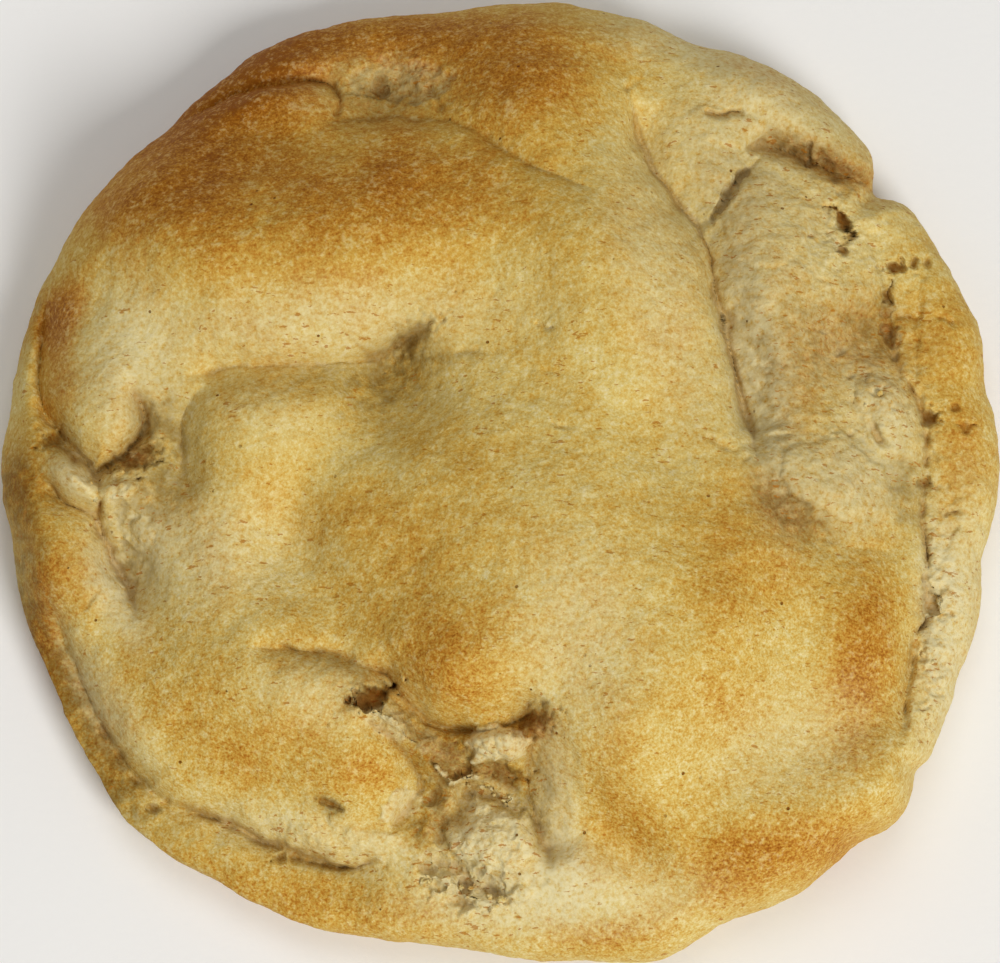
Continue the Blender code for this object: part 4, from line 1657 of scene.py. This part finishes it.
    def prominence(self, height: Array, counted: Array, reach: float) -> Array:
        """How far the top stands out from the dough round it.

        Formula: the height, less its mean over the grid's points that count, weighted by
        exp(-(n / m)^2) for n rows or columns off, where m rows make up the reach.

        Args:
            height: The height of each point of the top, row by row.
            counted: How much each point counts, down to 0 on the rolled edge.
            reach: How far the dough round it is looked at, in millimetres.

        Returns:
            The difference in millimetres at each point.
        """
        side = self.side()
        off = np.subtract.outer(np.arange(side), np.arange(side)) * self.radius / self.top_rings
        spread = np.exp(-((off / reach) ** 2))
        height, counted = height.reshape(side, side), counted.reshape(side, side)
        mean = (spread @ (height * counted) @ spread) / np.maximum(spread @ counted @ spread, 1e-9)
        return ((height - mean) * counted).ravel()

    def roughened(self, points: Array, normals: Array, torn: Array) -> Array:
        """Fine relief, out along the surface.

        Formula: 0.20, 0.10, 0.05, 0.03 and 0.02 mm of noise at 4.5, 2.0, 1.0, 0.6 and 0.35 mm. For the
        share s to which the dough is torn, at most 0.8, s times 0.40, 0.25 and 0.12 mm of noise at 1.8,
        0.9 and 0.45 mm is added. Where the skin ends, the bare dough lies 0.25 mm deeper. All of it fades
        out towards the table.

        Args:
            points: The points.
            normals: Their normals.
            torn: How far the dough is torn there.

        Returns:
            The moved points.
        """
        fine = ((4.5, 0.20), (2.0, 0.10), (1.0, 0.05), (0.6, 0.03), (0.35, 0.02))
        coarse = ((1.8, 0.40), (0.9, 0.25), (0.45, 0.12))
        relief = sum(rise * Noise(size, 30 + k).at(points) for k, (size, rise) in enumerate(fine))
        lumps = sum(rise * Noise(size, 40 + k).at(points) for k, (size, rise) in enumerate(coarse))
        relief += np.clip(torn, 0.0, 0.8) * lumps - 0.25 * bared(torn)
        return points + normals * (relief * ease(points[:, 2] / 1.5))[:, None]

    def shades(self, points: Array, places: Array, down: Array, torn: Array) -> dict[str, Array]:
        """How the crust has baked at each point, for its finish, and where shade is painted: lumps brown
        first, hollows get painted shade.

        Formula: browned is 0.33, its stains, 0.10 of noise and 0.03 for each millimetre that a place
        stands out from the dough 7 mm round it, eased off above 0.5, and 0.72 on the underside. Pale and
        moist are their stains, more where the dough lies bare, and clumps are pale and dry; the moist
        stains also paint shade. Floury grows over 36 mm towards the front. Hollow is painted shade, by the
        depth of the cracks and pits, or by how far a place lies under the dough 0.9 mm round it.

        Args:
            points: The points.
            places: The place of each point as seen.
            down: How far down the side each point lies.
            torn: How far the dough is torn there.

        Returns:
            The attributes: browned, pale, moist, which also holds painted shade, crumbly, floury towards the
            front, and hollow, painted shade in the cracks, pits and hollows.
        """
        x, y = places.T
        _, cut, clump = self.relief(x, y)
        top = slice(0, self.side() ** 2)
        edge = self.rim(np.arctan2(y[top], x[top])) - self.shoulder
        counted = ease((edge - np.hypot(x[top], y[top])) / 3.0)
        broad, near = np.zeros((2, len(x)))
        broad[top] = self.prominence(points[top, 2], counted, 7.0)
        near[top] = self.prominence(points[top, 2], counted, 0.9)
        uneven = Noise(6.0, 41, 3).over(x, y)
        underside = ease((down - 0.6) / 0.4)
        browned = 0.33 + self.baked(Bake.BROWNED, x, y) + 0.10 * uneven + np.clip(0.03 * broad, -0.08, 0.10)
        browned = np.where(browned > 0.5, 0.5 + 0.45 * np.tanh((browned - 0.5) / 0.45), browned)
        browned = browned * (1.0 - underside) + (0.72 + 0.12 * uneven) * underside
        bare = bared(torn)
        shown = 1.0 - ease(down / 0.8)
        pale = np.maximum(self.baked(Bake.PALE, x, y) + 0.25 * bare, clump) + np.clip(near, 0.0, 0.5) * bare
        # Moist dough, and the shade that the moist stains paint.
        moist_and_shade = self.baked(Bake.MOIST_AND_SHADE, x, y) + 0.2 * bare
        moist_and_shade = moist_and_shade * (1.0 + 0.5 * Noise(1.4, 42, 3).over(x, y)) * (1.0 - clump)
        return {
            "browned": browned,
            "pale": np.clip(pale, 0.0, 1.0) * shown,
            "moist_and_shade": np.clip(moist_and_shade, 0.0, 1.0) * shown,
            "crumbly": np.clip(torn, 0.0, 1.0) * shown,
            "floury": ease((8.0 - y) / 36.0) * shown,
            # Painted shade: deeper in cracks and pits, and where a place lies under the dough round it.
            "hollow_shade": np.maximum(ease(cut / 1.6), 0.45 * ease((-near - 0.06) / 0.5)) * shown,
        }

    def build(self) -> list[bpy.types.Object]:
        """Builds the cookie's pieces: three strips of the top from front to back, and the underside.

        Returns:
            The objects, in place of the cookie's solid.
        """
        points, quads, ring, places, down = self.shell()
        torn = self.torn(*places.T) * (1.0 - ease(down / 0.8))
        points = self.roughened(points, point_normals(points, quads), torn)
        normals, shades = point_normals(points, quads), self.shades(points, places, down, torn)
        side = self.side() - 1
        rows = np.array_split(quads[: side * side].reshape(side, side, 4), len(self.strips))
        parts = {name: [strip.reshape(-1, 4)] for name, strip in zip(self.strips, rows)}
        fan = np.column_stack([np.full(len(ring), len(points) - 1), np.roll(ring, -1), ring])
        parts["crust_underside"] = [quads[side * side :], fan]
        material, pieces = self.finish.material(), []
        for name, faces in parts.items():
            used = np.unique(np.concatenate([group.ravel() for group in faces]))
            piece = put_mesh(name, points[used], [np.searchsorted(used, group) for group in faces], material)
            piece.data.normals_split_custom_set_from_vertices(normals[used].tolist())
            pieces.append(put_crust(piece, {shade: values[used] for shade, values in shades.items()}))
        return pieces


@dataclass(frozen=True)
class Heap(Oval):
    """Crumbs that lie over an oval of the top.

    Attributes:
        count: How many there are.
        least: Half size of the smallest.
        most: Half size of the largest.
    """

    count: int
    least: float
    most: float


def loose_heaps() -> tuple[Heap, ...]:
    """The small crumbs in the tears, the trench and the cracks.

    Returns:
        The heaps.
    """
    return (
        Heap(-1.0, -28.6, 3.4, 1.6, 0.0, 5, 0.15, 0.30),
        Heap(-3.0, -38.4, 4.5, 1.8, -15.0, 12, 0.15, 0.36),
        Heap(-35.4, -0.6, 2.6, 2.0, 0.0, 7, 0.15, 0.36),
        Heap(38.4, -8.0, 0.7, 14.0, 0.0, 7, 0.15, 0.30),
        Heap(34.2, 6.5, 1.8, 4.0, 25.0, 5, 0.15, 0.32),
    )


@dataclass(frozen=True)
class Crumbs:
    """Crumbs of one kind that rest in the cookie's tears, all in one piece.

    Attributes:
        cookie: The cookie they lie on.
        heaps: Where they lie.
        rings: Rings of points round a crumb.
        sides: Points of a ring.
        lump: Size of the noise that dents them, as a share of their size.
        seed: Seed of their places, sizes and turns.
    """

    cookie: Cookie
    heaps: tuple[Heap, ...]
    rings: int = 10
    sides: int = 14
    lump: float = 0.8
    seed: int = 7

    def ball(self) -> tuple[Array, Array, Array]:
        """A ball of radius 1.

        Formula: at ring angle a and side angle b, (sin a cos b, sin a sin b, cos a), with a pole at
        either end.

        Returns:
            The points, the quads between the rings and the triangles round the poles.
        """
        rise = np.linspace(0.0, math.pi, self.rings + 2)[1:-1, None]
        turn = np.linspace(0.0, 2 * math.pi, self.sides, endpoint=False)[None, :]
        axes = (np.sin(rise) * np.cos(turn), np.sin(rise) * np.sin(turn), np.cos(rise) + 0 * turn)
        points = np.vstack([np.stack(axes, axis=-1).reshape(-1, 3), [[0.0, 0.0, 1.0], [0.0, 0.0, -1.0]]])
        grid = np.arange(self.rings * self.sides).reshape(self.rings, self.sides)
        after = np.roll(grid, -1, axis=1)
        quads = np.stack([grid[:-1], grid[1:], after[1:], after[:-1]], axis=-1).reshape(-1, 4)
        top, low = np.full(self.sides, grid.size), np.full(self.sides, grid.size + 1)
        caps = [np.column_stack([top, grid[0], after[0]]), np.column_stack([low, after[-1], grid[-1]])]
        return points, quads, np.vstack(caps)

    def scattered(self, random: np.random.Generator) -> tuple[Array, Array, Array]:
        """Places and sizes of the crumbs.

        Formula: over each heap's oval at a distance sqrt(u) and an angle 2 pi v, for random u and v.

        Args:
            random: The random numbers.

        Returns:
            The places to the right and to the back, and the half sizes.
        """
        rows = []
        for heap in self.heaps:
            reach, angle = np.sqrt(random.random(heap.count)), 2 * math.pi * random.random(heap.count)
            turn = math.radians(heap.turn)
            along, across = heap.along * reach * np.cos(angle), heap.across * reach * np.sin(angle)
            x = heap.x + along * math.cos(turn) - across * math.sin(turn)
            y = heap.y + along * math.sin(turn) + across * math.cos(turn)
            rows.append(np.column_stack([x, y, random.uniform(heap.least, heap.most, heap.count)]))
        x, y, size = np.vstack(rows).T
        return x, y, size

    def build(self) -> bpy.types.Object:
        """Builds the crumbs' piece.

        Formula: each ball is dented by noise, stretched to 0.7 to 1.2 times its size along three axes,
        less along the third, turned, and set a little below the smooth height, in the rough dough. Each
        has one value of every attribute that the finish reads but the hollow shade, which crumbs are not
        given.

        Returns:
            The object, beside the cookie's crust in place of its solid.
        """
        random = np.random.default_rng(self.seed)
        ball, quads, caps = self.ball()
        x, y, size = self.scattered(random)
        stretch = size[:, None] * random.uniform(0.7, 1.2, (len(size), 3)) * (1.0, 1.0, 0.8)
        turned = np.linalg.qr(random.normal(size=(len(size), 3, 3)))[0]
        turned *= np.sign(np.linalg.det(turned))[:, None, None]
        apart = 9.0 * random.random((len(size), 1, 3))
        dents = Noise(self.lump, self.seed, 2).at((ball[None] * 1.3 + apart).reshape(-1, 3))
        rough = 1.0 + 0.55 * dents.reshape(len(size), -1, 1)
        shapes = np.einsum("kpi,kij->kpj", ball[None] * rough * stretch[:, None], turned)
        rest = self.cookie.stand(x, y, self.cookie.height(x, y) - 0.2)
        points = (shapes + rest[:, None]).reshape(-1, 3)
        first = np.arange(len(size))[:, None, None] * len(ball)
        faces = [(group[None] + first).reshape(-1, group.shape[1]) for group in (quads, caps)]
        piece = put_mesh("loose_crumbs", points, faces, self.cookie.finish.material("loose_crumb"))
        shades = {
            "browned": (0.20, 0.50),
            "pale": (0.15, 0.60),
            "moist_and_shade": (-0.3, 0.45),
            "crumbly": (0.6, 1.0),
            "floury": (0.3, 1.0),
        }
        spread = {name: np.clip(random.uniform(*ends, len(size)), 0.0, 1.0) for name, ends in shades.items()}
        return put_crust(piece, {name: np.repeat(values, len(ball)) for name, values in spread.items()})


@dataclass(frozen=True)
class Studio:
    """The table, the camera and the soft lights.

    Attributes:
        view_width: Width of the view at the cookie.
        sensor: Width of the camera's sensor.
        table_side: Side of the table.
        room: Colour of the light that the room gives.
        room_strength: Its strength.
        finish: The table's finish.
    """

    view_width: float = 90.0
    sensor: float = 36.0
    table_side: float = 4000.0
    room: Colour = (1.0, 0.97, 0.92, 1.0)
    room_strength: float = 0.24
    finish: TableFinish = TableFinish()

    def table(self) -> bpy.types.Object:
        """Lays the table under the cookie.

        Returns:
            The table.
        """
        half = self.table_side / 2.0
        corners = np.array([[-half, -half, 0.0], [half, -half, 0.0], [half, half, 0.0], [-half, half, 0.0]])
        floor = put_mesh("table", corners, [np.array([[0, 1, 2, 3]])], self.finish.material())
        return floor

    def camera(self, height: float) -> bpy.types.Object:
        """Sets up the camera, looking down at the cookie from the front.

        Args:
            height: The height that it looks at.

        Returns:
            The camera.
        """
        lens = bpy.data.cameras.new("camera")
        lens.sensor_width = self.sensor
        lens.lens = self.sensor * VIEW_DISTANCE / self.view_width
        lens.clip_end = 20.0
        camera = bpy.data.objects.new("camera", lens)
        tilt = math.radians(VIEW_UP)
        front, above = VIEW_FRONT + VIEW_DISTANCE * math.cos(tilt), VIEW_DISTANCE * math.sin(tilt) + height
        camera.location = (0.0, -front * MM, above * MM)
        camera.rotation_euler = (math.pi / 2 - tilt, 0.0, 0.0)
        bpy.context.scene.collection.objects.link(camera)
        bpy.context.scene.camera = camera
        return camera

    def lamp(self, name: str, turn: float, up: float, distance: float, side: float, power: float) -> None:
        """Hangs a square soft light that faces the cookie.

        Args:
            name: The light's name.
            turn: Its direction round the cookie, in degrees from the right.
            up: How far above the table it stands, in degrees.
            distance: How far off it hangs, in millimetres.
            side: Its side, in millimetres.
            power: Its power in watts.
        """
        data = bpy.data.lights.new(name, "AREA")
        data.energy = power
        data.size = side * MM
        light = bpy.data.objects.new(name, data)
        round_by, rise = math.radians(turn), math.radians(up)
        flat = distance * math.cos(rise) * MM
        above = distance * math.sin(rise) * MM
        light.location = (flat * math.cos(round_by), flat * math.sin(round_by), above)
        light.rotation_euler = (math.pi / 2 - rise, 0.0, round_by + math.pi / 2)
        bpy.context.scene.collection.objects.link(light)

    def light(self) -> None:
        """Lights the cookie softly, mostly from the front."""
        self.lamp("front_light", turn=-58.0, up=42.0, distance=1500.0, side=600.0, power=15.5)
        self.lamp("left_light", turn=160.0, up=40.0, distance=1500.0, side=900.0, power=1.0)
        self.lamp("top_light", turn=90.0, up=75.0, distance=1600.0, side=900.0, power=5.0)
        world = bpy.data.worlds.new("room")
        world.use_nodes = True
        background = world.node_tree.nodes["Background"]
        background.inputs["Color"].default_value = self.room
        background.inputs["Strength"].default_value = self.room_strength
        bpy.context.scene.world = world
        bpy.context.scene.view_settings.view_transform = "Standard"


def main() -> None:
    """Builds the cookie and its studio."""
    logging.basicConfig(level=logging.INFO, format="%(name)s: %(message)s")
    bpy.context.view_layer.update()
    cookie = Cookie()
    for piece in (*cookie.build(), Crumbs(cookie, loose_heaps()).build()):
        LOG.info("%s: %d points, %d faces", piece.name, len(piece.data.vertices), len(piece.data.polygons))
    studio = Studio()
    studio.table()
    studio.camera(cookie.equator)
    studio.light()


if __name__ == "__main__":
    main()
